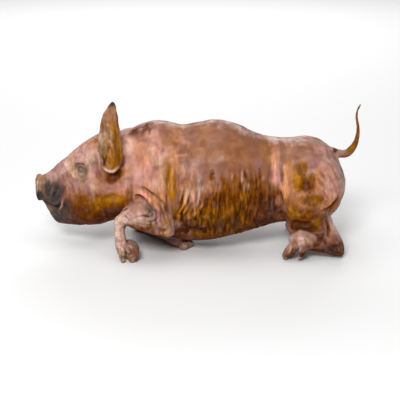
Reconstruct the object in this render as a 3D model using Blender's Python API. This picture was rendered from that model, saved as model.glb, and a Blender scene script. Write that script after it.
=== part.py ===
"""Whole roast suckling pig, crouching on its folded legs, as one closed solid.

Metres, +Z up. The snout points to -X, the tail to +X, and the pig's left flank faces -Y. It rests on
Z = 0, and the origin is under the middle of its bounding box. The trunk and head are one loft through
named cross-sections. The legs, hams, shoulders, ears and tail are added to it, all of it is fused into one
skin, and the skin's creases and folds are then pressed into that.
"""

import math

import bmesh
import bpy
import numpy as np
from mathutils import Vector

# Driving sizes of the animal.
EAR_LENGTH = 0.136  # from the lip at the bottom to the tip
EAR_THICKNESS = 0.0044
EAR_TIP_CURL = 0.0045  # how far the last quarter of the blade curls to the side
NOSE_DISC = (-0.3025, 0.1175)  # X and Z of its middle
NOSE_DISC_RADII = (0.0062, 0.0212, 0.0268)

# How the skin is meshed.
CORE_VOXEL = 0.0030
CORE_SMOOTHING = 9
SKIN_VOXEL = 0.0018
SKIN_SMOOTHING = 2
SKIN_TRIANGLES = 11400
RING_POINTS = 64
RING_SPACING = 0.004

SKIN_COLOUR = (0.40, 0.17, 0.085, 1.0)

# Cross-sections of head and trunk from snout to rump: name, X, top Z, bottom Z, half width, and how far up
# the section it is widest, as a share of its height.
SECTIONS = (
    ("behind nose disc", -0.3030, 0.1400, 0.0960, 0.0165, 0.52),
    ("snout waist", -0.2940, 0.1425, 0.0860, 0.0195, 0.52),
    ("upper lip", -0.2840, 0.1470, 0.0700, 0.0215, 0.52),
    ("bridge", -0.2730, 0.1560, 0.0490, 0.0255, 0.55),
    ("muzzle", -0.2575, 0.1695, 0.0430, 0.0315, 0.54),
    ("cheek", -0.2420, 0.1830, 0.0420, 0.0390, 0.50),
    ("eyes", -0.2225, 0.2000, 0.0420, 0.0480, 0.47),
    ("brow", -0.2030, 0.2140, 0.0428, 0.0555, 0.45),
    ("poll", -0.1840, 0.2245, 0.0444, 0.0605, 0.45),
    ("nape", -0.1645, 0.2255, 0.0520, 0.0625, 0.46),
    ("neck", -0.1455, 0.2260, 0.0545, 0.0635, 0.47),
    ("neck root", -0.1170, 0.2370, 0.0450, 0.0690, 0.48),
    ("withers", -0.0880, 0.2490, 0.0330, 0.0745, 0.48),
    ("shoulder", -0.0580, 0.2495, 0.0220, 0.0800, 0.47),
    ("saddle", -0.0270, 0.2410, 0.0150, 0.0830, 0.46),
    ("ribs", 0.0030, 0.2465, 0.0130, 0.0860, 0.45),
    ("back", 0.0340, 0.2510, 0.0165, 0.0875, 0.45),
    ("belly", 0.0640, 0.2465, 0.0240, 0.0860, 0.46),
    ("paunch", 0.0950, 0.2335, 0.0330, 0.0825, 0.47),
    ("flank", 0.1250, 0.2215, 0.0425, 0.0765, 0.48),
    ("loin", 0.1560, 0.2155, 0.0510, 0.0725, 0.50),
    ("ham", 0.1865, 0.2165, 0.0520, 0.0745, 0.50),
    ("croup", 0.2170, 0.2170, 0.0520, 0.0760, 0.50),
    ("tail head", 0.2400, 0.2085, 0.0560, 0.0720, 0.50),
    ("rump", 0.2590, 0.1905, 0.0740, 0.0600, 0.50),
    ("buttock", 0.2730, 0.1670, 0.0930, 0.0450, 0.50),
    ("rump end", 0.2810, 0.1500, 0.1090, 0.0270, 0.50),
    ("rump tip", 0.2840, 0.1360, 0.1260, 0.0080, 0.50),
)

# Ellipsoids that fill out the form, on both sides: name, centre (X, distance from the midplane, Z) and radii.
MASSES = (
    ("jowl", (-0.198, 0.031, 0.100), (0.046, 0.0285, 0.044)),
    ("brow", (-0.205, 0.024, 0.182), (0.022, 0.0185, 0.015)),
    ("shoulder", (-0.082, 0.044, 0.132), (0.052, 0.037, 0.078)),
    ("ham", (0.2175, 0.041, 0.131), (0.060, 0.042, 0.067)),
    ("thigh", (0.205, 0.050, 0.103), (0.047, 0.034, 0.044)),
    ("stifle", (0.187, 0.062, 0.068), (0.018, 0.017, 0.021)),
    ("hock web", (0.240, 0.060, 0.048), (0.024, 0.011, 0.024)),
)

# Limbs as joints (X, Y, Z, radius). The left side is -Y. The left foreleg's forearm lies level and its foot
# stands down from the wrist, with the toes curled under like a fist.
LEFT_UPPER_ARM = (
    (-0.086, -0.048, 0.142, 0.036),
    (-0.074, -0.064, 0.110, 0.033),
    (-0.061, -0.079, 0.076, 0.0225),
    (-0.0520, -0.083, 0.0600, 0.0140),
)
LEFT_FOREARM = (
    (-0.0640, -0.082, 0.0720, 0.0205),
    (-0.0890, -0.083, 0.0880, 0.0265),
    (-0.1160, -0.084, 0.0935, 0.0240),
    (-0.1350, -0.083, 0.0885, 0.0170),
    (-0.1430, -0.080, 0.0670, 0.0112),
    (-0.1435, -0.077, 0.0414, 0.0106),
    (-0.1410, -0.075, 0.0230, 0.0112),
)
LEFT_FORE_TOES = (
    ((-0.1390, -0.0830, 0.0250, 0.0092), (-0.1270, -0.0845, 0.0290, 0.0100), (-0.1165, -0.0845, 0.0210, 0.0098),
     (-0.1200, -0.0835, 0.0085, 0.0094)),
    ((-0.1390, -0.0670, 0.0240, 0.0092), (-0.1270, -0.0655, 0.0275, 0.0098), (-0.1175, -0.0655, 0.0195, 0.0094),
     (-0.1210, -0.0665, 0.0085, 0.0092)),
    ((-0.1390, -0.0750, 0.0240, 0.0100), (-0.1290, -0.0750, 0.0180, 0.0130), (-0.1230, -0.0750, 0.0150, 0.0125)),
    ((-0.1420, -0.0820, 0.0210, 0.0056), (-0.1405, -0.0860, 0.0110, 0.0046), (-0.1370, -0.0880, 0.0030, 0.0032)),
    ((-0.1440, -0.0690, 0.0200, 0.0056), (-0.1450, -0.0660, 0.0110, 0.0046), (-0.1430, -0.0640, 0.0030, 0.0032)),
)
# The right foreleg kneels on its wrist, with the foot tucked back under the chest.
RIGHT_UPPER_ARM = (
    (-0.086, 0.048, 0.140, 0.036),
    (-0.070, 0.064, 0.104, 0.033),
    (-0.053, 0.078, 0.068, 0.0225),
    (-0.0430, 0.081, 0.0510, 0.0140),
)
RIGHT_FOREARM = (
    (-0.0560, 0.081, 0.0590, 0.0190),
    (-0.0800, 0.083, 0.0480, 0.0215),
    (-0.1060, 0.078, 0.0280, 0.0190),
    (-0.1160, 0.068, 0.0155, 0.0160),
    (-0.0980, 0.050, 0.0110, 0.0112),
    (-0.0700, 0.022, 0.0100, 0.0098),
    (-0.0480, 0.000, 0.0100, 0.0106),
)
RIGHT_FORE_TOES = (
    ((-0.0510, -0.001, 0.0095, 0.0088), (-0.0370, -0.016, 0.0095, 0.0094), (-0.0220, -0.031, 0.0080, 0.0078)),
    ((-0.0460, 0.005, 0.0095, 0.0088), (-0.0290, -0.008, 0.0095, 0.0092), (-0.0130, -0.021, 0.0080, 0.0076)),
)
# The hind legs are folded: knee under the flank, hock on the surface, foot standing on its toes. The right
# one is folded tighter, and its hock lies further forward.
HIND_LEG = (
    (0.214, 0.048, 0.126, 0.040),
    (0.200, 0.062, 0.094, 0.030),
    (0.222, 0.066, 0.062, 0.020),
    (0.2500, 0.066, 0.0350, 0.0150),
    (0.2660, 0.066, 0.0150, 0.0128),
)
HIND_FOOT = (
    (0.2660, 0.066, 0.0150, 0.0125),
    (0.2434, 0.067, 0.0235, 0.0135),
    (0.2182, 0.070, 0.0340, 0.0165),
    (0.1980, 0.072, 0.0390, 0.0185),
    (0.1860, 0.073, 0.0370, 0.0165),
)
HIND_TOES = (
    ((0.1880, 0.084, 0.0380, 0.0100), (0.1760, 0.083, 0.0245, 0.0094), (0.1690, 0.071, 0.0070, 0.0068)),
    ((0.1900, 0.071, 0.0360, 0.0105), (0.1840, 0.067, 0.0225, 0.0094), (0.1800, 0.059, 0.0070, 0.0068)),
    ((0.2050, 0.084, 0.0330, 0.0080), (0.1990, 0.086, 0.0210, 0.0066), (0.1950, 0.082, 0.0090, 0.0044)),
    ((0.2080, 0.060, 0.0300, 0.0070), (0.2040, 0.056, 0.0180, 0.0056), (0.2020, 0.054, 0.0080, 0.0040)),
)
RIGHT_HIND_FOOT_SHARE = 0.74  # how far forward the right hind foot reaches, as a share of the left one
RIGHT_HOCK_FORWARD = 0.009
HOCK_BEND_Z = (0.050, 0.110)  # drawn forward in full below the first height, and not at all above the second
# The tendon that stretches the skin from the back of the ham to the point of the hock.
HOCK_TENDON = (
    (0.2405, 0.048, 0.0880, 0.0095),
    (0.2535, 0.057, 0.0580, 0.0080),
    (0.2715, 0.066, 0.0250, 0.0085),
    (0.2720, 0.066, 0.0090, 0.0090),
)
TAIL = (
    (0.2480, 0.000, 0.1900, 0.0110),
    (0.2660, 0.001, 0.1865, 0.0085),
    (0.2830, 0.000, 0.1865, 0.0080),
    (0.2930, -0.003, 0.1970, 0.0072),
    (0.3010, -0.004, 0.2160, 0.0046),
    (0.3025, -0.002, 0.2380, 0.0034),
    (0.2990, 0.001, 0.2610, 0.0026),
    (0.3005, 0.001, 0.2720, 0.0023),
    (0.3055, 0.000, 0.2835, 0.0021),
)

# Ears: lip at the bottom, tip, and the way that the hollow side faces.
LEFT_EAR = {"lip": (-0.1590, -0.0700, 0.1735), "tip": (-0.1545, -0.0640, 0.3095), "faces": (-0.10, -1.0, 0.0)}
RIGHT_EAR = {"lip": (-0.1680, 0.0640, 0.1760), "tip": (-0.0950, 0.1150, 0.1960), "faces": (-0.40, 0.55, -0.70)}
# The gristle that carries each ear, from inside the head to the back of the blade.
EAR_ROOTS = (
    ((-0.158, -0.028, 0.186, 0.022), (-0.158, -0.038, 0.196, 0.0155), (-0.157, -0.043, 0.212, 0.0090)),
    ((-0.158, 0.030, 0.184, 0.022), (-0.154, 0.050, 0.188, 0.0150), (-0.142, 0.066, 0.193, 0.0080)),
)
# Half width of an ear's blade and depth of its hollow from lip to tip, as shares of its length. The lip is
# round, so the shares of the length where they hold lie closer together there.
EAR_STATIONS = (0.0, 0.02, 0.06, 0.12, 0.21, 0.34, 0.48, 0.61, 0.74, 0.86, 0.95, 1.0)
EAR_HALF_WIDTHS = (0.012, 0.060, 0.105, 0.144, 0.162, 0.164, 0.152, 0.134, 0.110, 0.080, 0.046, 0.013)
EAR_HOLLOWS = (0.005, 0.035, 0.075, 0.115, 0.135, 0.125, 0.100, 0.075, 0.052, 0.030, 0.012, 0.000)

# Creases of the skin on both sides: name, points (X, Z), depth and half width.
CREASES = (
    ("lip wrinkle", ((-0.2590, 0.1010), (-0.2560, 0.0920), (-0.2580, 0.0830)), 0.0022, 0.0026),
    ("mouth", ((-0.3010, 0.0905), (-0.2860, 0.0880), (-0.2700, 0.0865), (-0.2560, 0.0930)), 0.0045, 0.0028),
    ("throat", ((-0.1290, 0.1620), (-0.1250, 0.1340), (-0.1290, 0.1060)), 0.0050, 0.0055),
    ("armpit", ((-0.1080, 0.1490), (-0.0880, 0.1400), (-0.0650, 0.1200), (-0.0480, 0.0970), (-0.0360, 0.0640)),
     0.0052, 0.0050),
    ("behind shoulder", ((-0.0620, 0.2150), (-0.0520, 0.1750), (-0.0480, 0.1400), (-0.0420, 0.1000)), 0.0032, 0.0090),
    ("flank fold", ((0.1420, 0.2000), (0.1440, 0.1500), (0.1520, 0.1100), (0.1620, 0.0700)), 0.0060, 0.0085),
    ("ham fold", ((0.1680, 0.0650), (0.1950, 0.0600), (0.2200, 0.0530), (0.2480, 0.0420)), 0.0044, 0.0042),
    ("back of ham", ((0.2420, 0.1150), (0.2490, 0.0880), (0.2480, 0.0660), (0.2500, 0.0400)), 0.0040, 0.0038),
)
EYE = (-0.2150, 0.1690)  # X and Z of the eye, on both sides
EYE_SOCKET_RADIUS = 0.0100
EYE_SOCKET_DEPTH = 0.0038
EYE_RIM_SHARE = 0.45  # how far the lids stand up round the socket, as a share of its depth
NOSTRIL = (0.0088, 0.1210)  # distance from the midplane and Z
NOSTRIL_RADIUS = 0.0046
NOSTRIL_DEPTH = 0.0080
RUMP_CLEFT = ((0.070, 0.172), 0.0090, 0.0075)  # Z from and to, depth and half width
# Hanging folds of the loose belly skin. They lean back as they go up, and wander.
FOLDS_X = (-0.030, 0.155)
FOLDS_Z = (0.030, 0.155)
FOLD_SPACING = 0.0150
FOLD_DEPTH = 0.0024
FOLD_LEAN = 0.12
FOLD_WANDER = 0.006


def clear_scene():
    for obj in list(bpy.data.objects):
        bpy.data.objects.remove(obj)


def smooth_step(value, low, high):
    """0 below low, 1 above high, and a smooth rise between."""
    share = np.clip((value - low) / (high - low), 0.0, 1.0)
    return share * share * (3.0 - 2.0 * share)


def smooth_curve(knots, values, at):
    """Values at the places `at`, on a curve that passes smoothly through (knots, values)."""
    knots, values, at = (np.asarray(a, float) for a in (knots, values, at))
    slopes = np.gradient(values, knots)
    cell = np.clip(np.searchsorted(knots, at, side="right") - 1, 0, len(knots) - 2)
    width = knots[cell + 1] - knots[cell]
    t = (at - knots[cell]) / width
    return (
        (2 * t**3 - 3 * t**2 + 1) * values[cell]
        + (t**3 - 2 * t**2 + t) * width * slopes[cell]
        + (3 * t**2 - 2 * t**3) * values[cell + 1]
        + (t**3 - t**2) * width * slopes[cell + 1]
    )


def new_object(name, mesh):
    obj = bpy.data.objects.new(name, mesh)
    bpy.context.scene.collection.objects.link(obj)
    return obj


def mesh_from(bm):
    mesh = bpy.data.meshes.new("shape")
    bmesh.ops.recalc_face_normals(bm, faces=bm.faces)
    bm.to_mesh(mesh)
    bm.free()
    return mesh


def finished_mesh(obj):
    """The object's mesh with its modifiers applied."""
    graph = bpy.context.evaluated_depsgraph_get()
    return bpy.data.meshes.new_from_object(obj.evaluated_get(graph))


def add_modifier(obj, kind, **settings):
    modifier = obj.modifiers.new(kind.title(), kind)
    for key, value in settings.items():
        setattr(modifier, key, value)
    return modifier


def apply_modifiers(obj):
    mesh = finished_mesh(obj)
    obj.modifiers.clear()
    obj.data = mesh


def trunk():
    """Head and trunk, lofted through the named cross-sections."""
    columns = list(zip(*SECTIONS))
    knots = columns[1]
    places = np.arange(knots[0], knots[-1], RING_SPACING)
    places = np.unique(np.append(places, knots))
    top, bottom, half_width, widest = (smooth_curve(knots, c, places) for c in columns[2:])
    turns = np.linspace(0.0, 2.0 * math.pi, RING_POINTS, endpoint=False)
    bm = bmesh.new()
    rings = []
    for i, x in enumerate(places):
        waist = bottom[i] + widest[i] * (top[i] - bottom[i])
        heights = np.where(np.sin(turns) > 0, top[i] - waist, waist - bottom[i])
        ring = [
            bm.verts.new((x, half_width[i] * math.cos(turn), waist + height * math.sin(turn)))
            for turn, height in zip(turns, heights)
        ]
        if rings:
            for k in range(RING_POINTS):
                n = (k + 1) % RING_POINTS
                bm.faces.new((rings[-1][k], rings[-1][n], ring[n], ring[k]))
        rings.append(ring)
    bm.faces.new(rings[0])
    bm.faces.new(rings[-1])
    return new_object("trunk", mesh_from(bm))


def mass(name, centre, radii, side):
    bm = bmesh.new()
    bmesh.ops.create_icosphere(bm, subdivisions=4, radius=1.0)
    bmesh.ops.scale(bm, vec=Vector(radii), verts=bm.verts)
    bmesh.ops.translate(bm, vec=Vector((centre[0], side * centre[1], centre[2])), verts=bm.verts)
    return new_object(name, mesh_from(bm))


def left_side(joints):
    """The same limb on the left side."""
    return tuple((x, -y, z, radius) for x, y, z, radius in joints)


def right_leg(joints):
    """The same limb with its lower part drawn forward, as the right hind leg lies."""
    return tuple(
        (x - RIGHT_HOCK_FORWARD * (1.0 - float(smooth_step(z, *HOCK_BEND_Z))), y, z, radius)
        for x, y, z, radius in joints
    )


def right_foot(joints):
    """The same foot drawn in towards the hock, and then forward with it."""
    hock = HIND_FOOT[0][0]
    return right_leg([(hock + (x - hock) * RIGHT_HIND_FOOT_SHARE, y, z, radius) for x, y, z, radius in joints])


def tube(name, joints):
    """A round limb through the joints, with a radius at each, and rounded ends."""
    first, last = joints[0], joints[-1]
    start = [first[i] - (joints[1][i] - first[i]) * 0.25 for i in range(3)] + [first[3] * 0.55]
    away = Vector(last[:3]) - Vector(joints[-2][:3])
    end = list(Vector(last[:3]) + away.normalized() * last[3] * 0.7) + [last[3] * 0.6]
    curve = bpy.data.curves.new(name, "CURVE")
    curve.dimensions = "3D"
    curve.resolution_u = 8
    curve.bevel_depth = 1.0
    curve.bevel_resolution = 6
    curve.use_fill_caps = True
    spline = curve.splines.new("BEZIER")
    points = (start, *joints, end)
    spline.bezier_points.add(len(points) - 1)
    for knot, (x, y, z, radius) in zip(spline.bezier_points, points):
        knot.co = (x, y, z)
        knot.radius = radius
        knot.handle_left_type = knot.handle_right_type = "AUTO"
    obj = new_object(name, curve)
    mesh = finished_mesh(obj)
    bpy.data.objects.remove(obj)
    return new_object(name, mesh)


def nose_disc():
    """The flat disc at the end of the snout, with a rounded rim."""
    bm = bmesh.new()
    bmesh.ops.create_icosphere(bm, subdivisions=4, radius=1.0)
    for vert in bm.verts:
        vert.co.x = math.copysign(math.sqrt(abs(vert.co.x)), vert.co.x)
    bmesh.ops.scale(bm, vec=Vector(NOSE_DISC_RADII), verts=bm.verts)
    bmesh.ops.translate(bm, vec=Vector((NOSE_DISC[0], 0.0, NOSE_DISC[1])), verts=bm.verts)
    return new_object("nose_disc", mesh_from(bm))


def ear(name, lip, tip, faces):
    """A blade hollowed like a spoon: its rim runs round the lip at the bottom and meets at the tip."""
    lip, tip = Vector(lip), Vector(tip)
    along = (tip - lip).normalized()
    facing = Vector(faces)
    facing = (facing - facing.project(along)).normalized()
    across = along.cross(facing)
    rows, columns = 48, 24
    shares = 1.0 - np.cos(np.linspace(0.0, math.pi, rows + 1))
    shares /= shares[-1]
    half_widths = smooth_curve(EAR_STATIONS, EAR_HALF_WIDTHS, shares) * EAR_LENGTH
    hollows = smooth_curve(EAR_STATIONS, EAR_HOLLOWS, shares) * EAR_LENGTH
    bm = bmesh.new()
    grid = []
    for share, half_width, hollow in zip(shares, half_widths, hollows):
        middle = lip + (tip - lip) * share + across * (EAR_TIP_CURL * float(smooth_step(share, 0.70, 1.0)))
        places = np.sin(np.linspace(-0.5, 0.5, columns + 1) * math.pi)
        grid.append(
            [bm.verts.new(middle + across * (half_width * v) - facing * (hollow * (1.0 - v * v))) for v in places]
        )
    for low, high in zip(grid, grid[1:]):
        for k in range(columns):
            bm.faces.new((low[k], low[k + 1], high[k + 1], high[k]))
    obj = new_object(name, mesh_from(bm))
    add_modifier(obj, "SOLIDIFY", thickness=EAR_THICKNESS, offset=0.0, use_even_offset=True)
    apply_modifiers(obj)
    return obj


def fused(name, parts, voxel, smoothing):
    """All parts as one skin: their meshes are put together and remeshed by voxels, which fuses them."""
    bm = bmesh.new()
    for part in parts:
        bm.from_mesh(part.data)
        bpy.data.objects.remove(part)
    obj = new_object(name, mesh_from(bm))
    add_modifier(obj, "REMESH", mode="VOXEL", voxel_size=voxel, adaptivity=0.0)
    add_modifier(obj, "SMOOTH", factor=0.5, iterations=smoothing)
    apply_modifiers(obj)
    return obj


def points_of(obj):
    points = np.empty(len(obj.data.vertices) * 3, np.float32)
    obj.data.vertices.foreach_get("co", points)
    return points.reshape(-1, 3).astype(float)


def normals_of(obj):
    normals = np.empty(len(obj.data.vertices) * 3, np.float32)
    obj.data.vertices.foreach_get("normal", normals)
    return normals.reshape(-1, 3).astype(float)


def set_points(obj, points):
    obj.data.vertices.foreach_set("co", points.astype(np.float32).ravel())
    obj.data.update()


def nearest_on_line(places, line):
    """For each place in a plane, its distance to a line of points, and how far along the line that is."""
    distance = np.full(len(places), np.inf)
    along = np.zeros(len(places))
    for number, (a, b) in enumerate(zip(line, line[1:])):
        a, b = np.asarray(a, float), np.asarray(b, float)
        run = b - a
        share = np.clip((places - a) @ run / (run @ run), 0.0, 1.0)
        away = np.linalg.norm(places - a - share[:, None] * run, axis=1)
        along = np.where(away < distance, (number + share) / (len(line) - 1), along)
        distance = np.minimum(distance, away)
    return distance, along


def smooth_line(line, count=24):
    """The same line with rounded corners."""
    knots = np.linspace(0.0, 1.0, len(line))
    at = np.linspace(0.0, 1.0, count)
    columns = [smooth_curve(knots, column, at) for column in zip(*line)]
    return list(zip(*columns))


def press_creases(obj):
    """Pushes the skin in along each named crease."""
    points, normals = points_of(obj), normals_of(obj)
    side_view = points[:, [0, 2]]
    depth = np.zeros(len(points))
    for _, line, deepest, half_width in CREASES:
        distance, along = nearest_on_line(side_view, smooth_line(line))
        tapered = np.sqrt(np.sin(math.pi * np.clip(along, 0.0, 1.0)))
        outward = smooth_step(np.abs(normals[:, 1]), 0.15, 0.45)
        depth += deepest * tapered * np.exp(-((distance / half_width) ** 2)) * outward
    (low, high), deepest, half_width = RUMP_CLEFT
    behind = smooth_step(points[:, 0], 0.225, 0.245) * smooth_step(normals[:, 0], 0.1, 0.5)
    in_cleft = smooth_step(points[:, 2], low, low + 0.02) * (1.0 - smooth_step(points[:, 2], high - 0.02, high))
    depth += deepest * np.exp(-((points[:, 1] / half_width) ** 2)) * behind * in_cleft
    set_points(obj, points - normals * depth[:, None])


def press_face(obj):
    """Sinks the eye sockets and the nostrils."""
    points = points_of(obj)
    x, y, z = points.T
    from_eye = np.hypot(x - EYE[0], z - EYE[1]) / EYE_SOCKET_RADIUS
    lids = EYE_RIM_SHARE * np.exp(-6.0 * (from_eye - 1.5) ** 2)
    socket = EYE_SOCKET_DEPTH * (np.exp(-(from_eye**2)) - lids)
    points[:, 1] -= np.sign(y) * socket * smooth_step(np.abs(y), 0.015, 0.025)
    from_nostril = np.hypot(np.abs(y) - NOSTRIL[0], z - NOSTRIL[1]) / NOSTRIL_RADIUS
    on_disc = 1.0 - smooth_step(x, NOSE_DISC[0] - 0.004, NOSE_DISC[0])
    points[:, 0] += NOSTRIL_DEPTH * (1.0 - smooth_step(from_nostril, 0.55, 1.1)) * on_disc
    set_points(obj, points)


def hang_belly_folds(obj):
    """Vertical folds in the loose skin of the belly, uneven in spacing, deepest half way down.

    Three waves of different length are mixed, so that no two folds are alike, and left and right differ.
    """
    points, normals = points_of(obj), normals_of(obj)
    x, y, z = points.T
    side = np.sign(y)
    wander = FOLD_WANDER * (np.sin(55.0 * x + 1.5 * side) + 0.5 * np.sin(70.0 * z + 40.0 * x))
    turn = 2.0 * math.pi * (x + FOLD_LEAN * (z - FOLDS_Z[0]) + wander) / FOLD_SPACING
    waves = np.sin(turn) + 0.7 * np.sin(turn / 1.63 + 1.0)
    waves *= 0.65 + 0.35 * np.sin(turn / 4.1 + 2.0 * side)
    patch = smooth_step(x, FOLDS_X[0], FOLDS_X[0] + 0.03) * smooth_step(-x, -FOLDS_X[1], 0.02 - FOLDS_X[1])
    patch *= smooth_step(z, FOLDS_Z[0] - 0.01, FOLDS_Z[0] + 0.02) * smooth_step(-z, -FOLDS_Z[1], 0.05 - FOLDS_Z[1])
    patch *= smooth_step(np.abs(normals[:, 1]), 0.3, 0.7)
    set_points(obj, points + normals * (FOLD_DEPTH * waves * patch)[:, None])


def thinned(obj):
    """Fewer triangles, most of them where the form is finest."""
    bm = bmesh.new()
    bm.from_mesh(obj.data)
    bmesh.ops.triangulate(bm, faces=bm.faces)
    bm.to_mesh(obj.data)
    bm.free()
    ratio = SKIN_TRIANGLES / len(obj.data.polygons)
    add_modifier(obj, "DECIMATE", decimate_type="COLLAPSE", ratio=ratio, use_collapse_triangulate=True)
    apply_modifiers(obj)


def flatten_underside(obj):
    """Cuts off what reaches below the surface, so that every foot has a flat spot to rest on."""
    bm = bmesh.new()
    bm.from_mesh(obj.data)
    cut = bmesh.ops.bisect_plane(
        bm, geom=[*bm.verts, *bm.edges, *bm.faces], plane_co=(0, 0, 0), plane_no=(0, 0, -1), clear_outer=True
    )
    edges = [e for e in cut["geom_cut"] if isinstance(e, bmesh.types.BMEdge)]
    bmesh.ops.holes_fill(bm, edges=edges, sides=0)
    bmesh.ops.triangulate(bm, faces=bm.faces)
    bmesh.ops.recalc_face_normals(bm, faces=bm.faces)
    bm.to_mesh(obj.data)
    bm.free()


def centre_over_origin(obj):
    """Puts the middle of the bounding box over the origin, and prints how far that was."""
    points = points_of(obj)
    shift = (points.min(0) + points.max(0)) / 2.0
    shift[2] = points[:, 2].min()
    set_points(obj, points - shift)
    print("moved by", (-shift).round(5), "size", (points.max(0) - points.min(0)).round(4))


def skin_material():
    material = bpy.data.materials.new("roast_skin")
    material.use_nodes = True
    shader = material.node_tree.nodes["Principled BSDF"]
    shader.inputs["Base Color"].default_value = SKIN_COLOUR
    shader.inputs["Roughness"].default_value = 0.38
    shader.inputs["Metallic"].default_value = 0.0
    return material


def legs():
    """The long parts of all four legs."""
    parts = [tube("left_upper_arm", LEFT_UPPER_ARM), tube("left_forearm", LEFT_FOREARM)]
    parts += [tube("right_upper_arm", RIGHT_UPPER_ARM), tube("right_forearm", RIGHT_FOREARM)]
    for joints in (HIND_LEG, HOCK_TENDON):
        parts += [tube("right_hind_leg", right_leg(joints)), tube("left_hind_leg", left_side(joints))]
    parts += [tube("right_hind_foot", right_foot(HIND_FOOT)), tube("left_hind_foot", left_side(HIND_FOOT))]
    return parts


def toes():
    parts = [tube("fore_toe", toe) for toe in (*LEFT_FORE_TOES, *RIGHT_FORE_TOES)]
    for toe in HIND_TOES:
        parts += [tube("right_hind_toe", right_foot(toe)), tube("left_hind_toe", left_side(toe))]
    return parts


def main():
    clear_scene()
    masses = [mass(name, centre, radii, side) for name, centre, radii in MASSES for side in (-1, 1)]
    ear_roots = [tube("ear_root", joints) for joints in EAR_ROOTS]
    core = fused("core", [trunk(), *masses, *legs(), *ear_roots], CORE_VOXEL, CORE_SMOOTHING)
    ears = [ear("left_ear", **LEFT_EAR), ear("right_ear", **RIGHT_EAR)]
    pig = fused("pig", [core, nose_disc(), *ears, tube("tail", TAIL), *toes()], SKIN_VOXEL, SKIN_SMOOTHING)
    press_creases(pig)
    press_face(pig)
    hang_belly_folds(pig)
    thinned(pig)
    flatten_underside(pig)
    centre_over_origin(pig)
    pig.data.shade_smooth()
    pig.data.materials.append(skin_material())


main()
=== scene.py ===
# %% [markdown]
# A whole roast suckling pig, dressed in its skin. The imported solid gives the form: one animal crouching on
# folded legs. This script gives it what an oven gives: loose skin that hangs in folds, wrinkles at every
# joint, crisp golden patches, a charred snout and pale feet. It is built in cells, and each cell is one step
# that a modeller would take by hand.

import itertools
import math

import bpy
import numpy as np
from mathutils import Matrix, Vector
from mathutils.bvhtree import BVHTree


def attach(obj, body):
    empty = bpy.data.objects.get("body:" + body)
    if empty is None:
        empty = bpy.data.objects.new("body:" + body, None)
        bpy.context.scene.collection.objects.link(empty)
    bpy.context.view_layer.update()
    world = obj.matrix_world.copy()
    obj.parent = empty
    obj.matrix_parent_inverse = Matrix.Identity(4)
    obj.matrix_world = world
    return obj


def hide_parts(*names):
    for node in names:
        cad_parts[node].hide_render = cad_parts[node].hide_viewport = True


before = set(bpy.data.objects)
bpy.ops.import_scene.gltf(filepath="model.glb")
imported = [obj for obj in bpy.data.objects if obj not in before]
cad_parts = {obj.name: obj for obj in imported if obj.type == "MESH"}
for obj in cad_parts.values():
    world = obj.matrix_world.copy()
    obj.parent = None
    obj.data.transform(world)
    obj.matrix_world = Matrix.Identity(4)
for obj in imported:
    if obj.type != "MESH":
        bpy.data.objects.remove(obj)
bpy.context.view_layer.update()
LEFT, RIGHT, TOP = -1, 1, 0  # the pig's left flank faces -Y

# %% [markdown]
# The camera comes first, because every size of detail is chosen for what it shows. It stands two metres away
# and looks down by 22 degrees with a long lens, so that the pig is seen from its left side and a little from
# above, with hardly any perspective.

# %% Camera
CAMERA_PLACE = (0.00815, -1.97986, 0.9015)
CAMERA_DOWN = math.radians(22.3)

bpy.ops.object.camera_add(location=CAMERA_PLACE, rotation=(math.radians(90) - CAMERA_DOWN, 0, 0))
camera = bpy.context.object
camera.name = "camera"
camera.data.lens = 100.0
camera.data.sensor_width = 36.0
bpy.context.scene.camera = camera
print("camera at", CAMERA_PLACE)

# %% [markdown]
# A plain pale floor catches a soft shadow. Three soft boxes light the pig, as in a food studio: a wide one
# above, one behind that draws a pale edge along the back, and a small one in front, which stands in the middle
# so that the ear throws no shadow on the neck. A dim white world keeps the shadows open. The view is left
# untreated, so that a colour in a material is the colour seen.

# %% Floor and light
FLOOR_COLOUR = (0.78, 0.78, 0.78, 1.0)


def soft_box(name, place, aim, size, watts):
    bpy.ops.object.light_add(type="AREA", location=place)
    lamp = bpy.context.object
    lamp.name = name
    lamp.data.shape = "RECTANGLE"
    lamp.data.size, lamp.data.size_y = size
    lamp.data.energy = watts
    lamp.rotation_euler = (Vector(aim) - Vector(place)).to_track_quat("-Z", "Y").to_euler()


bpy.ops.mesh.primitive_plane_add(size=12.0, location=(0, 0, 0))
floor = bpy.context.object
floor.name = "floor"
floor_paint = bpy.data.materials.new("floor_paint")
floor_paint.use_nodes = True
floor_shader = floor_paint.node_tree.nodes["Principled BSDF"]
floor_shader.inputs["Base Color"].default_value = FLOOR_COLOUR
floor_shader.inputs["Roughness"].default_value = 0.9
floor.data.materials.append(floor_paint)

soft_box("top_light", (-0.3, -0.3, 2.6), (0, 0, 0.1), (3.2, 2.2), 46)
soft_box("back_light", (0.0, 2.2, 1.3), (0, 0, 0.15), (2.6, 1.2), 36)
soft_box("front_light", (-0.5, -2.2, 2.0), (0, 0, 0.1), (0.9, 0.7), 62)

world = bpy.data.worlds.new("studio")
world.use_nodes = True
sky = world.node_tree.nodes["Background"]
sky.inputs["Color"].default_value = (1, 1, 1, 1)
sky.inputs["Strength"].default_value = 0.12
bpy.context.scene.world = world
bpy.context.scene.view_settings.view_transform = "Standard"

# %% [markdown]
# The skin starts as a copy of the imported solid. Its loose triangles are merged, and a voxel remesh turns
# them into an even net of small squares, fine enough to be sculpted. One smoothing pass takes away the
# facets. Sculpting on the coarse solid itself would only move its corners.

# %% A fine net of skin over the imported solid
SKIN_VOXEL = 0.00145
SKIN_TRIANGLES = 194000


def select_only(obj):
    bpy.ops.object.select_all(action="DESELECT")
    obj.select_set(True)
    bpy.context.view_layer.objects.active = obj


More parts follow.
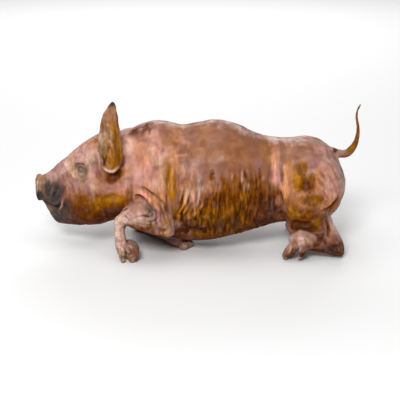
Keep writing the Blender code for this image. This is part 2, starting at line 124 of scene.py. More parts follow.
def apply_modifier(obj, kind, **settings):
    select_only(obj)
    bpy.ops.object.modifier_add(type=kind)
    modifier = obj.modifiers[-1]
    for key, value in settings.items():
        setattr(modifier, key, value)
    bpy.ops.object.modifier_apply(modifier=modifier.name)


pig = bpy.data.objects.new("roast_pig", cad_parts["pig"].data.copy())
bpy.context.scene.collection.objects.link(pig)
pig.data.materials.clear()
select_only(pig)
bpy.ops.object.mode_set(mode="EDIT")
bpy.ops.mesh.select_all(action="SELECT")
bpy.ops.mesh.remove_doubles(threshold=0.00001)
bpy.ops.object.mode_set(mode="OBJECT")
apply_modifier(pig, "REMESH", mode="VOXEL", voxel_size=SKIN_VOXEL, adaptivity=0.0, use_smooth_shade=True)
apply_modifier(pig, "SMOOTH", factor=0.5, iterations=5)
print("net of", len(pig.data.polygons), "faces")

# %% [markdown]
# Skin is never even, so every step below leans on one noise: random numbers at the corners of a grid of
# cubes, blended smoothly in between. The cubes can be stretched, which draws the noise out into streaks.
# A fixed seed makes the same pig each time. With it come a soft step between two values, and two helpers that
# read the net's points or normals and write its points back.

# %% Noise over the skin
LATTICE = np.random.default_rng(11).uniform(-1.0, 1.0, (32, 32, 32))


def noise(places, size, seed=0.0):
    """Smooth values from -1 to 1 that change over `size`: one length, or one for each of X, Y and Z."""
    cells = places / np.asarray(size, float) + 100.0 + seed * 7.31
    base = np.floor(cells).astype(int)
    t = cells - base
    t = t * t * (3.0 - 2.0 * t)
    total = np.zeros(len(places))
    for corner in itertools.product((0, 1), repeat=3):
        share = np.prod(np.where(corner, t, 1.0 - t), axis=1)
        index = (base + corner) % len(LATTICE)
        total += share * LATTICE[index[:, 0], index[:, 1], index[:, 2]]
    return total


def smooth_step(value, low, high):
    share = np.clip((value - low) / (high - low), 0.0, 1.0)
    return share * share * (3.0 - 2.0 * share)


def read(obj, what):
    values = np.empty(len(obj.data.vertices) * 3, np.float32)
    obj.data.vertices.foreach_get(what, values)
    return values.reshape(-1, 3).astype(float)


def write(obj, points):
    obj.data.vertices.foreach_set("co", points.astype(np.float32).ravel())
    obj.data.update()


points = read(pig, "co")
print("noise over the skin goes from", noise(points, 0.02).min().round(2), "to", noise(points, 0.02).max().round(2))

# %% [markdown]
# Loose skin hangs in folds. On the belly they run down the flank, close together, with sharp valleys and
# round backs; high on the back they fade out. The absolute value of a noise gives just that section: it
# comes down to a sharp line at zero and is round between. Stretching the cubes downwards draws the folds.

# %% Hanging folds of the flank and belly
FOLD_HEIGHT = 0.0052
FOLD_SIZE = (0.0090, 0.0300, 0.0600)
FINE_FOLD_HEIGHT = 0.0020
FINE_FOLD_SIZE = (0.0046, 0.0150, 0.0300)


def ridged(places, size, seed):
    """Round backs between sharp valleys, from 0 in a valley to about 1."""
    return np.clip(np.abs(noise(places, size, seed)) * 2.2, 0.0, 1.0) ** 0.7


def leaning(places):
    """The places sheared so that folds fan out: forward at the shoulder, upright at the flank."""
    bent = places.copy()
    lean = 0.45 * (1.0 - smooth_step(places[:, 0], -0.05, 0.07))
    bent[:, 0] -= lean * (places[:, 2] - 0.10)
    bent[:, 0] += 0.0035 * noise(places, 0.030, 3)
    return bent


normals = read(pig, "normal")
x, y, z = points.T
sideways = smooth_step(np.abs(normals[:, 1]), 0.25, 0.65)
on_flank = smooth_step(x, -0.045, -0.010) * (1.0 - smooth_step(x, 0.128, 0.148))
low_down = 1.0 - smooth_step(z + 0.012 * noise(points, 0.03, 5), 0.110, 0.185)
off_floor = smooth_step(z, 0.022, 0.050)
folds = on_flank * low_down * sideways * off_floor
bent = leaning(points)
coarse = ridged(bent, FOLD_SIZE, 1) - 0.55
fine = ridged(bent, FINE_FOLD_SIZE, 2) - 0.55
relief = folds * (FOLD_HEIGHT * coarse + FINE_FOLD_HEIGHT * fine)
# painted shade for the fold valleys, read by the colours
crease_shade = folds * np.clip(-1.2 * coarse - 0.5 * fine, 0.0, 1.0)
write(pig, points + normals * relief[:, None])
print("folds stand", round(1000 * relief.max(), 2), "mm out and", round(-1000 * relief.min(), 2), "mm in")

# %% [markdown]
# Single creases are drawn like strokes of a sculptor's tool. Each is a short line in side view, thrown onto
# the skin from that side, with a depth and a half width, all in millimetres. A positive depth presses a valley
# with a soft lip on each side of it; a negative one raises a ridge. A stroke is on both sides of the pig unless
# its name starts with left, right or top. The head has a shut mouth, a wrinkled muzzle, lids that have shrunk
# round the eye, and one ear that has curled up into a long cup.

# %% Strokes on head and ear
# name, depth, half width, points (X, Z)
HEAD_STROKES = (
    ("mouth", 3, 2.2, (-290, 98), (-277, 92), (-264, 89), (-253, 96)),
    ("lip corner", -2.2, 2.4, (-250, 108), (-254, 94), (-260, 80)),
    ("behind lip", 1.8, 2.2, (-244, 110), (-247, 95), (-252, 80)),
    ("muzzle fold 1", 1.3, 1.9, (-283, 108), (-277, 124), (-268, 138)),
    ("muzzle fold 2", 1.4, 1.9, (-275, 103), (-267, 119), (-258, 134)),
    ("muzzle fold 3", 1.6, 1.9, (-266, 101), (-257, 116), (-249, 132)),
    ("muzzle fold 4", 1.3, 2, (-256, 112), (-248, 126), (-243, 140)),
    ("chin fold", 1.6, 2.2, (-272, 83), (-262, 72), (-248, 64)),
    ("disc neck", 2.8, 3, (-295.5, 136), (-296.5, 120), (-294.5, 104)),
    ("nose wrinkle", 1.2, 1.8, (-287, 142), (-284, 130), (-286, 116)),
    ("bridge wrinkle 1", 1, 2.2, (-262, 162), (-252, 150), (-247, 139)),
    ("bridge wrinkle 2", 1.1, 2.2, (-250, 170), (-241, 156), (-237, 142)),
    ("cheek fold 1", 1.2, 3, (-240, 146), (-232, 138), (-229, 122)),
    ("cheek fold 2", 1.1, 3.4, (-221, 146), (-218, 131), (-222, 116)),
    ("cheek fold 3", 0.8, 4, (-200, 150), (-202, 135), (-199, 122)),
    ("temple dent", 1.2, 7, (-190, 186), (-186, 170)), ("brow", -1.3, 5.6, (-226, 181), (-214, 186), (-200, 182)),
    ("over brow", 0.6, 4, (-228, 191), (-214, 197), (-200, 195)),
)
EYE_STROKES = (
    ("upper lid", -0.6, 2.4, (-221.5, 169), (-212, 174.5), (-202, 169.5)),
    ("lower lid", -0.9, 2, (-221, 165.5), (-212, 161.2), (-203, 166.5)),
    ("under lid", 0.8, 1.9, (-221.5, 160.5), (-212, 156.5), (-201, 162)),
)
EAR_STROKES = (
    ("left ear slot", 2.6, 1.8, (-170, 205), (-167.5, 194), (-164, 186)),
    ("left ear ridge 1", -2, 3, (-168, 250), (-164, 225), (-161.5, 200), (-159, 188)),
    ("left ear groove 1", 1.2, 2.6, (-161, 282), (-160, 255), (-157, 225), (-156, 198)),
    ("left ear ridge 2", -1.6, 3, (-154, 285), (-153, 250), (-151.5, 220), (-152, 195)),
    ("left ear groove 2", 1, 2.4, (-148, 270), (-147, 240), (-146.5, 210), (-147.5, 192)),
    ("left ear fold", 0.8, 2.2, (-166, 238), (-158, 245), (-150, 240)),
    ("left ear lip", -2.2, 3, (-169, 185), (-162, 178.5), (-155, 176.5), (-148, 179), (-141, 186)),
)
print(len(HEAD_STROKES + EYE_STROKES + EAR_STROKES), "strokes on head and ear")

# %% [markdown]
# The left foreleg is drawn up hard. Skin piles up in arcs over the arm, zigzags down the forearm, creases at
# the wrist, and fans out behind the elbow. The toes of the foot are curled under like a fist.

# %% Strokes on shoulder and foreleg
SHOULDER_STROKES = (
    ("left arm arc", 1.8, 3.6, (-106, 142), (-95, 147), (-84, 139), (-71, 133), (-58, 117), (-49, 96), (-46, 81)),
    ("right arm arc", 2.6, 3, (-106, 142), (-84, 139), (-60, 112), (-40, 75)),
    ("left roll over arm", -2.2, 4.8, (-113, 133), (-101, 139), (-89, 133), (-76, 124)),
    ("left under roll", 1.8, 3, (-116, 121), (-104, 130), (-92, 126), (-82, 114)),
    ("left second arc", 1.4, 2.8, (-72, 124), (-61, 109), (-55, 90)),
    ("throat fold", 1.3, 4.6, (-119, 156), (-121, 138), (-120, 120), (-116, 108)),
    ("beside throat", -1.2, 4.2, (-128, 156), (-129, 138), (-129, 122)),
    ("left forearm pit", 2.6, 4.6, (-93, 119), (-85, 114), (-78, 108)),
    ("left forearm wrinkle 1", 1.7, 1.8, (-108, 101), (-96, 103), (-84, 101), (-76, 105)),
    ("left forearm wrinkle 2", 1.8, 1.8, (-90, 94), (-80, 92), (-71, 95), (-64, 102)),
    ("left forearm wrinkle 3", 1.8, 1.8, (-77, 115), (-72, 104), (-73, 92), (-69, 83)),
    ("left forearm wrinkle 4", 1.6, 1.7, (-66, 112), (-63, 102), (-64, 92), (-60, 84)),
    ("left forearm wrinkle 5", 0.9, 1.4, (-112, 92), (-100, 88), (-86, 86)),
    ("left elbow pocket", 2.2, 3, (-68, 78), (-60, 70), (-52, 72)),
    ("left elbow ridge", -1.8, 2.6, (-47, 96), (-43, 82), (-43, 68)),
    ("left wrist crease 1", 1.3, 1.9, (-137, 96), (-130, 100), (-124, 95)),
    ("left wrist crease 2", 1.1, 1.8, (-128, 108), (-121, 103), (-117, 95)),
    ("left shin groove", 1.2, 2.4, (-139, 75), (-138, 55), (-137, 38)),
    ("fan fold 1", 2, 2.4, (-40, 72), (-34, 95), (-26, 119), (-20, 146)),
    ("fan fold 2", 1.6, 2.2, (-34, 84), (-24, 104), (-14, 124), (-8, 150)),
    ("fan ridge", -2.2, 2.8, (-37, 82), (-29, 103), (-20, 124), (-14, 148)),
    ("fan fold 3", 1.2, 3.2, (-52, 104), (-52, 126), (-50, 150)),
    ("stripe ridge", -1.8, 3.4, (-46, 112), (-45, 136), (-44, 160), (-46, 180)),
    ("shoulder hollow", 1.2, 10, (-58, 200), (-49, 170), (-42, 142), (-36, 110)),
    ("blade ridge", -2, 11, (-100, 216), (-88, 190), (-82, 165)),
    ("blade groove", 1.4, 6, (-79, 212), (-71, 190), (-68, 165)),
    ("neck fold 1", 0.8, 5, (-128, 205), (-122, 185), (-120, 165)),
)
FOOT_STROKES = (
    ("left toe curl 1", 2.2, 1.8, (-139, 36), (-133, 30), (-130, 20), (-133, 10)),
    ("left toe curl 2", 2, 1.6, (-126, 36), (-121, 29), (-121, 20), (-126, 13)),
    ("left toe curl 3", 1.6, 1.5, (-116, 31), (-113, 23), (-114, 14)),
    ("left toe ridge", -1.4, 1.8, (-131, 34), (-126, 27), (-125, 18)),
    ("left dewclaw groove", 1.6, 1.5, (-141, 20), (-137, 12), (-135, 4)),
    ("foot wrinkle 1", 1.3, 1.8, (186, 50), (191, 40), (190, 30)),
    ("foot wrinkle 2", 1.2, 1.8, (202, 54), (206, 44), (206, 34)),
    ("foot wrinkle 3", 1.2, 2, (219, 50), (223, 41), (224, 31)),
    ("between toes", 2, 1.6, (181, 38), (181, 28), (180, 16)),
)
print(len(SHOULDER_STROKES + FOOT_STROKES), "strokes on shoulder and feet")

# %% [markdown]
# The belly carries a loose apron of skin and a lump below it. Two long folds part the flank from the ham, which
# is wrinkled to the rear and rolls over the knee. Two scars lie on the withers, so they are drawn from above.

# %% Strokes on belly, ham and back
BELLY_STROKES = (
    ("apron ridge", -3, 3.6, (-19, 80), (-6, 95), (6, 108), (15, 124)),
    ("under apron", 1, 4.6, (-12, 74), (2, 88), (13, 101), (22, 118)),
    ("pale fold 1", -1.8, 3.2, (-22, 94), (-19, 116), (-17, 142)),
    ("pale fold 2", -2.2, 2.8, (-6, 118), (-4, 134), (-3, 152)),
    ("pale fold 3", -2.4, 4.4, (6, 110), (9, 128), (6, 148)), ("belly lump", -3, 8, (-12, 60), (4, 50), (20, 46)),
    ("belly fold low", 2.4, 3, (-22, 70), (-6, 63), (12, 62), (30, 68)),
    ("left slit", 1.8, 2, (90, 180), (91, 172), (93, 163)),
    ("left beside slit", -1.8, 2, (86, 180), (87, 170), (88, 160)),
    ("left pale nick", -1.6, 1.8, (66, 178), (68, 170), (69, 164)),
    ("left dimple", 2.2, 2.6, (31.5, 176.5), (32.5, 174)),
)
HAM_STROKES = (
    ("flank ridge 1", -3, 4.2, (145, 206), (147, 184), (147, 158), (148, 120)),
    ("before flank", 1.4, 4, (137, 178), (135, 156), (139, 136), (138, 112)),
    ("flank crease", 1.3, 2.4, (158, 200), (156, 184), (159, 166), (157, 152)),
    ("flank crease low", 2.2, 3.4, (155, 140), (160, 122), (163, 102)),
    ("flank ridge 2", -2, 4.8, (168, 190), (167, 168), (171, 140), (172, 112), (178, 94)),
    ("flank split", 1.8, 1.8, (145.5, 132), (147, 122), (146.5, 110)),
    ("knee fold", 1, 3.4, (174, 96), (186, 102), (200, 102)),
    ("ham roll", -1.8, 5.2, (178, 84), (190, 93), (205, 95), (221, 88), (232, 78)),
    ("under ham", 2.6, 3.6, (178, 73), (190, 80), (205, 80), (220, 74)),
    ("ham dent", 0.8, 6, (198, 122), (212, 126), (228, 122)),
    ("ham wrinkle 1", 1, 2.6, (227, 180), (233, 170), (241, 160)),
    ("ham wrinkle 2", 1, 2.6, (224, 168), (231, 156), (241, 144)),
    ("ham wrinkle 3", 0.9, 2.6, (241, 175), (248, 164), (256, 152)),
    ("ham wrinkle 4", 0.8, 2.4, (232, 148), (238, 136), (246, 126)),
    ("ham wrinkle 5", 0.8, 2.2, (247, 184), (256, 172), (264, 158)),
    ("ham wrinkle 6", 0.8, 2.2, (256, 150), (261, 138), (264, 126)),
    ("seat fold", 2.2, 3, (235, 99), (248, 106), (260, 118), (269, 131)),
    ("tendon groove", 3, 2.6, (246, 78), (248, 64), (250, 48)),
    ("tendon ridge", -1.6, 3, (253, 80), (260, 64), (270, 46)),
    ("hock crease", 2.2, 2.6, (252, 34), (262, 28), (274, 30)),
)
# points (X, Y)
BACK_STROKES = (
    ("top scar 1", 2.6, 2.2, (-127, -21), (-116, -17), (-105, -15)),
    ("top scar 2", 2.4, 2, (-102, -20), (-90, -13), (-78, -10)),
)
print(len(BELLY_STROKES + HAM_STROKES + BACK_STROKES), "strokes on belly, ham and back")

# %% [markdown]
# A line is drawn in side view and then thrown onto the skin, as a lamp throws the shadow of a wire. Its
# corners are rounded first. For every point of the skin we then need two things: how far it is from the line,
# and how far along the line that is, so that a crease can taper towards both ends.

# %% Lines on the skin
BOTH = (LEFT, RIGHT)


def metres(millimetres):
    return np.asarray(millimetres, float) / 1000.0


def sides_of(name):
    """The side that the first word of a name gives, or both."""
    return {"left": (LEFT,), "right": (RIGHT,), "top": (TOP,)}.get(name.split()[0], BOTH)


def rounded(line, count):
    """The line with its corners rounded, as `count` points."""
    knots = np.linspace(0.0, 1.0, len(line))
    at = np.linspace(0.0, 1.0, count)
    cell = np.clip(np.searchsorted(knots, at, side="right") - 1, 0, len(line) - 2)
    width = knots[1] - knots[0]
    t = ((at - knots[cell]) / width)[:, None]
    line = np.asarray(line, float)
    slopes = np.gradient(line, width, axis=0) * width
    return (
        (2 * t**3 - 3 * t**2 + 1) * line[cell]
        + (t**3 - 2 * t**2 + t) * slopes[cell]
        + (3 * t**2 - 2 * t**3) * line[cell + 1]
        + (t**3 - t**2) * slopes[cell + 1]
    )


def along_path(places, path):
    """For each place, its distance to a path in space, and how far along the path that is, 0 to 1."""
    distance = np.full(len(places), np.inf)
    along = np.zeros(len(places))
    for number, (a, b) in enumerate(zip(path, path[1:])):
        run = b - a
        share = np.clip((places - a) @ run / max(run @ run, 1e-12), 0.0, 1.0)
        away = np.linalg.norm(places - a - share[:, None] * run, axis=1)
        along = np.where(away < distance, (number + share) / (len(path) - 1), along)
        distance = np.minimum(distance, away)
    return distance, along


def thrown(line, side, tree, count=20):
    """The line's points (X, Z), or (X, Y) from above, thrown straight onto the skin from that side."""
    path = []
    for u, v in rounded(metres(line), count):
        if side == TOP:
            start, way = Vector((u, v, 0.5)), Vector((0, 0, -1))
        else:
            start, way = Vector((u, side * 0.4, v)), Vector((0, -side, 0))
        place, _, _, _ = tree.ray_cast(start, way)
        if place is not None:
            path.append(np.array(place))
    return path


count = sum(len(sides_of(name)) for name, *_ in HEAD_STROKES)
print(len(HEAD_STROKES), "strokes on the head make", count, "lines on its two sides")

# %% [markdown]
# Two shapes are first drawn in by a few millimetres, as the oven shrinks them: the disc of the nose over the
# snout, and the left wrist over its bend, with the skin above the foot filling out. Then the strokes are
# pressed. How deep each point lies is summed up as painted shade for the colours: creases are painted darker
# where shade falls in them; broad hollows count for less there than sharp creases.

# %% Draw in and press
STROKE_GAIN = 1.35
NOSE_SHRINK = 0.0024
WRIST_SHIFT = (0.0048, -0.0036)  # X and Z
FILL_ABOVE_FOOT = 0.0040


def press(strokes):
    """Presses the strokes into the skin. Returns how deep each point lies, less for broad strokes, in metres, which is
    painted as crease shade.
    """
    points, normals = read(pig, "co"), read(pig, "normal")
    tree = BVHTree.FromObject(pig, bpy.context.evaluated_depsgraph_get())
    sunk, shade = np.zeros(len(points)), np.zeros(len(points))
    for name, depth, half_width, *line in strokes:
        depth, half_width = metres((depth, half_width))
        for side in sides_of(name):
            path = thrown(line, side, tree)
            if len(path) < 2:
                continue
            reach = 3.5 * half_width
            low, high = np.min(path, axis=0) - reach, np.max(path, axis=0) + reach
            near = np.flatnonzero(((points > low) & (points < high)).all(axis=1))
            distance, along = along_path(points[near], path)
            share = distance / (half_width * (1.0 + 0.35 * noise(points[near], 0.012, 8)))
            valley = np.exp(-(share**2))
            lips = 0.30 * np.exp(-(((share - 2.1) / 0.8) ** 2)) if depth > 0 else 0.0
            taper = np.sin(math.pi * np.clip(along, 0.02, 0.98)) ** 0.6
            outward = normals[near, 2] if side == TOP else side * normals[near, 1]
            taper = taper * smooth_step(outward, -0.25, 0.15)
            sunk[near] += STROKE_GAIN * depth * taper * (valley - lips)
            # painted crease shade: deeper and sharper creases are painted darker
            shade[near] += STROKE_GAIN * depth * taper * (valley - lips) * min(1.0, (0.0026 / half_width) ** 1.3)
    write(pig, points - normals * sunk[:, None])
    return shade


def drawn_in(points):
    """The nose disc shrinks back over the snout, the left wrist over its bend, and the skin above the foot fills."""
    points[:, 0] += NOSE_SHRINK * (1.0 - smooth_step(points[:, 0], -0.300, -0.282))
    bend = np.hypot(points[:, 0] + 0.144, points[:, 2] - 0.103)
    share = np.exp(-((bend / 0.013) ** 2)) * smooth_step(-points[:, 1], 0.066, 0.080)
    points[:, 0] += WRIST_SHIFT[0] * share
    points[:, 2] += WRIST_SHIFT[1] * share
    lower = np.hypot((points[:, 0] + 0.127) / 0.009, (points[:, 2] - 0.048) / 0.014)
    points[:, 0] += FILL_ABOVE_FOOT * np.exp(-(lower**2)) * smooth_step(-points[:, 1], 0.055, 0.070)
    return points


write(pig, drawn_in(read(pig, "co")))
pressed = np.zeros(len(points))
for strokes in (
    HEAD_STROKES, EYE_STROKES, EAR_STROKES, BACK_STROKES, SHOULDER_STROKES, BELLY_STROKES, HAM_STROKES, FOOT_STROKES
):
    pressed += press(strokes)
crease_shade = np.clip(crease_shade + pressed / 0.0024, -1.0, 1.0)
print("strokes press up to", round(1000 * pressed.max(), 2), "mm deep")

# %% [markdown]
# Between the strokes the skin is leathery all over: shrunken dimples of one to two centimetres, fine wrinkles
# down the flanks and limbs, and others across the head. They are a millimetre or two high at most, but they
# break up the sheen, which is what makes skin look like skin and not like clay. The thin ear only crinkles.

# %% Leathery unevenness
points, normals = read(pig, "co"), read(pig, "normal")
x, y, z = points.T
on_ear = smooth_step(z, 0.182, 0.200) * smooth_step(-y, 0.052, 0.058) * (1.0 - smooth_step(x, -0.132, -0.126))
thin = np.clip(on_ear + smooth_step(x, 0.276, 0.286), 0.0, 1.0)
on_feet = 1.0 - smooth_step(z, 0.040, 0.062)
lumps = 0.0011 * noise(points, 0.024, 11) + 0.0006 * noise(points, 0.012, 12)
loose = smooth_step(x, -0.060, -0.030) * (1.0 - 0.85 * smooth_step(z, 0.150, 0.190))
wrinkles = 0.00075 * (ridged(bent, (0.0042, 0.0070, 0.0150), 13) - 0.6) * (0.35 + 0.65 * loose)
across_head = 0.0007 * (ridged(points, (0.0100, 0.0080, 0.0050), 14) - 0.6) * (1.0 - smooth_step(x, -0.20, -0.14))
leather = (lumps + wrinkles + across_head) * (1.0 - 0.75 * thin) * (1.0 - 0.4 * on_feet)
ear_crinkle = on_ear * (0.0016 * noise(points, (0.009, 0.02, 0.018), 15) + 0.0006 * noise(points, 0.005, 16))
keep_flat = smooth_step(z, 0.0004, 0.006)
points[:, 0] += on_ear * 0.0016 * noise(points, (0.05, 0.05, 0.016), 17) * smooth_step(z, 0.19, 0.22)
write(pig, points + normals * ((leather + ear_crinkle) * keep_flat)[:, None])
# painted shade in the wrinkle valleys, painted highlight on their crests
crease_shade = np.clip(crease_shade - wrinkles / 0.0011 * 0.35, -1.0, 1.0)
print("leather is", round(1000 * np.abs(leather).max(), 2), "mm high at most")

# %% [markdown]
# The net is thinned to what the skin needs: fewer, larger triangles where it is smooth, and all of them where
# it is wrinkled. How deep each point lies is kept with it as an attribute: the painted crease shade of the colours.

# %% Thin the net
# the valley attribute holds the painted crease shade and the painted ridge highlight
depths = pig.data.attributes.new("valley", "FLOAT", "POINT")
depths.data.foreach_set("value", crease_shade.astype(np.float32))
select_only(pig)
bpy.ops.object.mode_set(mode="EDIT")
bpy.ops.mesh.select_all(action="SELECT")
bpy.ops.mesh.quads_convert_to_tris()
bpy.ops.object.mode_set(mode="OBJECT")
net = len(pig.data.polygons)
apply_modifier(pig, "DECIMATE", ratio=min(1.0, SKIN_TRIANGLES / net), use_collapse_triangulate=True)
points = read(pig, "co")
points[:, 2] = np.maximum(points[:, 2], 0.0)
write(pig, points)
bpy.ops.object.shade_smooth()
crease_shade = np.empty(len(points), np.float32)
pig.data.attributes["valley"].data.foreach_get("value", crease_shade)
print("thinned from", net, "to", len(pig.data.polygons), "triangles; valley", crease_shade.min(), crease_shade.max())

# %% [markdown]
# An oven colours a pig in patches. Their map is painted as soft ellipses in side view, one list for each tone.
# Limbs and ear cross in front of the trunk in that view, so the skin is first parted into zones: the limbs by
# their distance from the bones, the left ear's blade by its place, and the trunk and head as the rest.

# %% Zones of the skin
# name, reach and joints (X, Y, Z) of each limb that roasts pale, in millimetres
LIMBS = (
    ("left forearm", 27, (-118, -94, 98), (-138, -92, 85), (-143, -84, 50), (-130, -80, 20)),
    ("left forearm above", 26, (-118, -90, 98), (-80, -90, 85), (-52, -88, 70)),
    ("right forearm", 22, (-100, 80, 20), (-70, 20, 12), (-30, -10, 10)),
    ("left hind foot", 20, (222, -78, 46), (200, -80, 42), (185, -82, 30), (172, -84, 6)),
    ("right hind foot", 20, (228, 72, 46), (208, 74, 42), (195, 76, 30), (182, 78, 6)),
    ("left tendon", 14, (246, -62, 104), (254, -60, 80), (264, -66, 55), (275, -70, 30)),
    ("right tendon", 14, (246, 56, 104), (254, 54, 80), (264, 60, 55), (275, 63, 30)),
)
x, y, z = points.T
limb = np.zeros(len(points))
for _, reach, *joints in LIMBS:
    reach = reach / 1000.0
    distance, _ = along_path(points, metres(joints))
    limb = np.maximum(limb, 1.0 - smooth_step(distance + 0.006 * noise(points, 0.014, 25), 0.75 * reach, 1.15 * reach))
blade = smooth_step(z, 0.176, 0.184) * smooth_step(-y, 0.050, 0.056) * (1.0 - smooth_step(x, -0.134, -0.128))
blade *= smooth_step(x, -0.196, -0.190)
zones = {"trunk": (1.0 - limb) * (1.0 - blade), "limbs": limb * (1.0 - blade), "ear": blade}
print({name: f"{100 * mask.mean():.0f} %" for name, mask in zones.items()})

# %% [markdown]
# Each patch has a name, its centre (X, Z) and radii in millimetres, a turn in degrees and a strength; past a
# strength of one its full core grows wider. One whose name starts with left is on that side alone. First come
# the patches of bare skin on trunk and head: pink and rose where it is least done, mauve in thin or shaded
# places, ashen where it has dried and as a painted sheen along the top edge of the back and ham, and orange where the
# heat of the oven met it.

# %% Bare skin of trunk and head
# name, centre X and Z, radii, turn, strength
TRUNK_PATCHES = {
    "pink": (
        ("forehead", -226, 188, 44, 20, 35, 1), ("cheek", -205, 150, 30, 18, 0, 0.45),
        ("neck", -122, 188, 30, 50, 0, 0.9), ("collar", -150, 141, 32, 13, 6, 1),
        ("shoulder", -90, 172, 36, 66, -12, 1), ("upper arm", -88, 132, 34, 22, 0, 0.8),
        ("flank fold 1", 151, 156, 8, 50, 0, 1), ("flank fold 2", 172, 160, 6, 40, -3, 0.5),
        ("back of ham", 250, 154, 30, 50, 10, 0.85), ("ham pale", 195, 138, 14, 8, 0, 0.6),
        ("pale folds", -4, 134, 26, 22, 0, 0.7), ("saddle front", -50, 206, 16, 24, 0, 0.8),
    ),
    "rose": (
        ("collar", -150, 141, 26, 9, 6, 1), ("arm roll", -92, 138, 22, 12, -20, 0.8),
        ("forehead", -222, 196, 14, 10, 35, 0.7), ("brow", -240, 152, 6, 12, 0, 0.5),
        ("flank fold 1", 147, 162, 8, 40, 0, 0.6), ("shoulder", -96, 176, 20, 34, 0, 0.45),
    ),
    "mauve": (
        ("mid flank", -6, 176, 20, 20, 10, 0.5), ("flank", 40, 184, 46, 14, 0, 0.4),
        ("before fold", 114, 186, 10, 10, 0, 0.6), ("ham top", 213, 194, 18, 12, 0, 0.5),
        ("ham spot", 218.5, 190, 8, 7, 0, 1), ("pale sheet", 5, 136, 10, 26, 10, 1),
        ("sheet top", -2, 168, 14, 12, 0, 0.7), ("collar", -154, 140, 20, 9, 4, 0.9),
        ("temple", -192, 178, 18, 18, 0, 0.7), ("muzzle top", -272, 146, 26, 12, 40, 0.7),
        ("cheek low", -220, 130, 36, 22, 0, 1), ("under eye", -214, 141, 11, 12, 0, 0.9),
        ("tail base", 276, 190, 14, 10, 0, 0.9),
    ),
    "ashen": (
        ("forehead", -232, 176, 46, 22, 38, 0.7), ("temple", -194, 188, 20, 20, 0, 0.5),
        ("sheet", 6, 138, 13, 24, 0, 1), ("sheet 2", 24, 150, 18, 16, 0, 0.6),
        ("muzzle top", -270, 146, 26, 12, 40, 0.6), ("cheek", -224, 156, 18, 16, 0, 0.5),
        # back top, withers top, loin edge and ham edge are a painted sheen along the top edge
        ("cheek low", -212, 146, 18, 16, 0, 0.35), ("back top", 60, 256, 110, 12, -8, 0.6),
        ("withers top", -70, 252, 50, 12, 0, 0.4), ("loin edge", 108, 237, 44, 6, -16, 0.8),
        ("ham edge", 172, 221, 36, 9, 0, 0.9), ("rump", 250, 198, 24, 18, -20, 0.6),
        ("seat", 268, 160, 12, 40, 14, 0.7), ("tail", 292, 200, 20, 16, 0, 0.6), ("flank", 36, 170, 36, 14, 0, 0.3),
    ),
    "orange": (
        ("groin edge", 138, 134, 8, 22, 0, 0.8), ("before saddle", -22, 208, 14, 12, 0, 0.7),
        ("saddle", 16, 242, 24, 14, 0, 0.7), ("back", 70, 212, 40, 24, -15, 0.8), ("loin", 134, 205, 20, 20, 0, 1),
        ("behind saddle", 10, 208, 28, 18, 0, 1), ("arm swirl", -104, 125, 9, 9, 0, 1),
        ("blade", -68, 206, 16, 32, 0, 0.6), ("ham low", 216, 106, 20, 12, 0, 0.5),
    ),
}
print(sum(len(rows) for rows in TRUNK_PATCHES.values()), "patches of bare skin")

# %% [markdown]
# Where fat ran down the jowl, behind the elbow, and over belly and ham, it basted the skin and browned it:
# brown in the large, gold and amber within that, honey at the edges, and olive where it is thin.

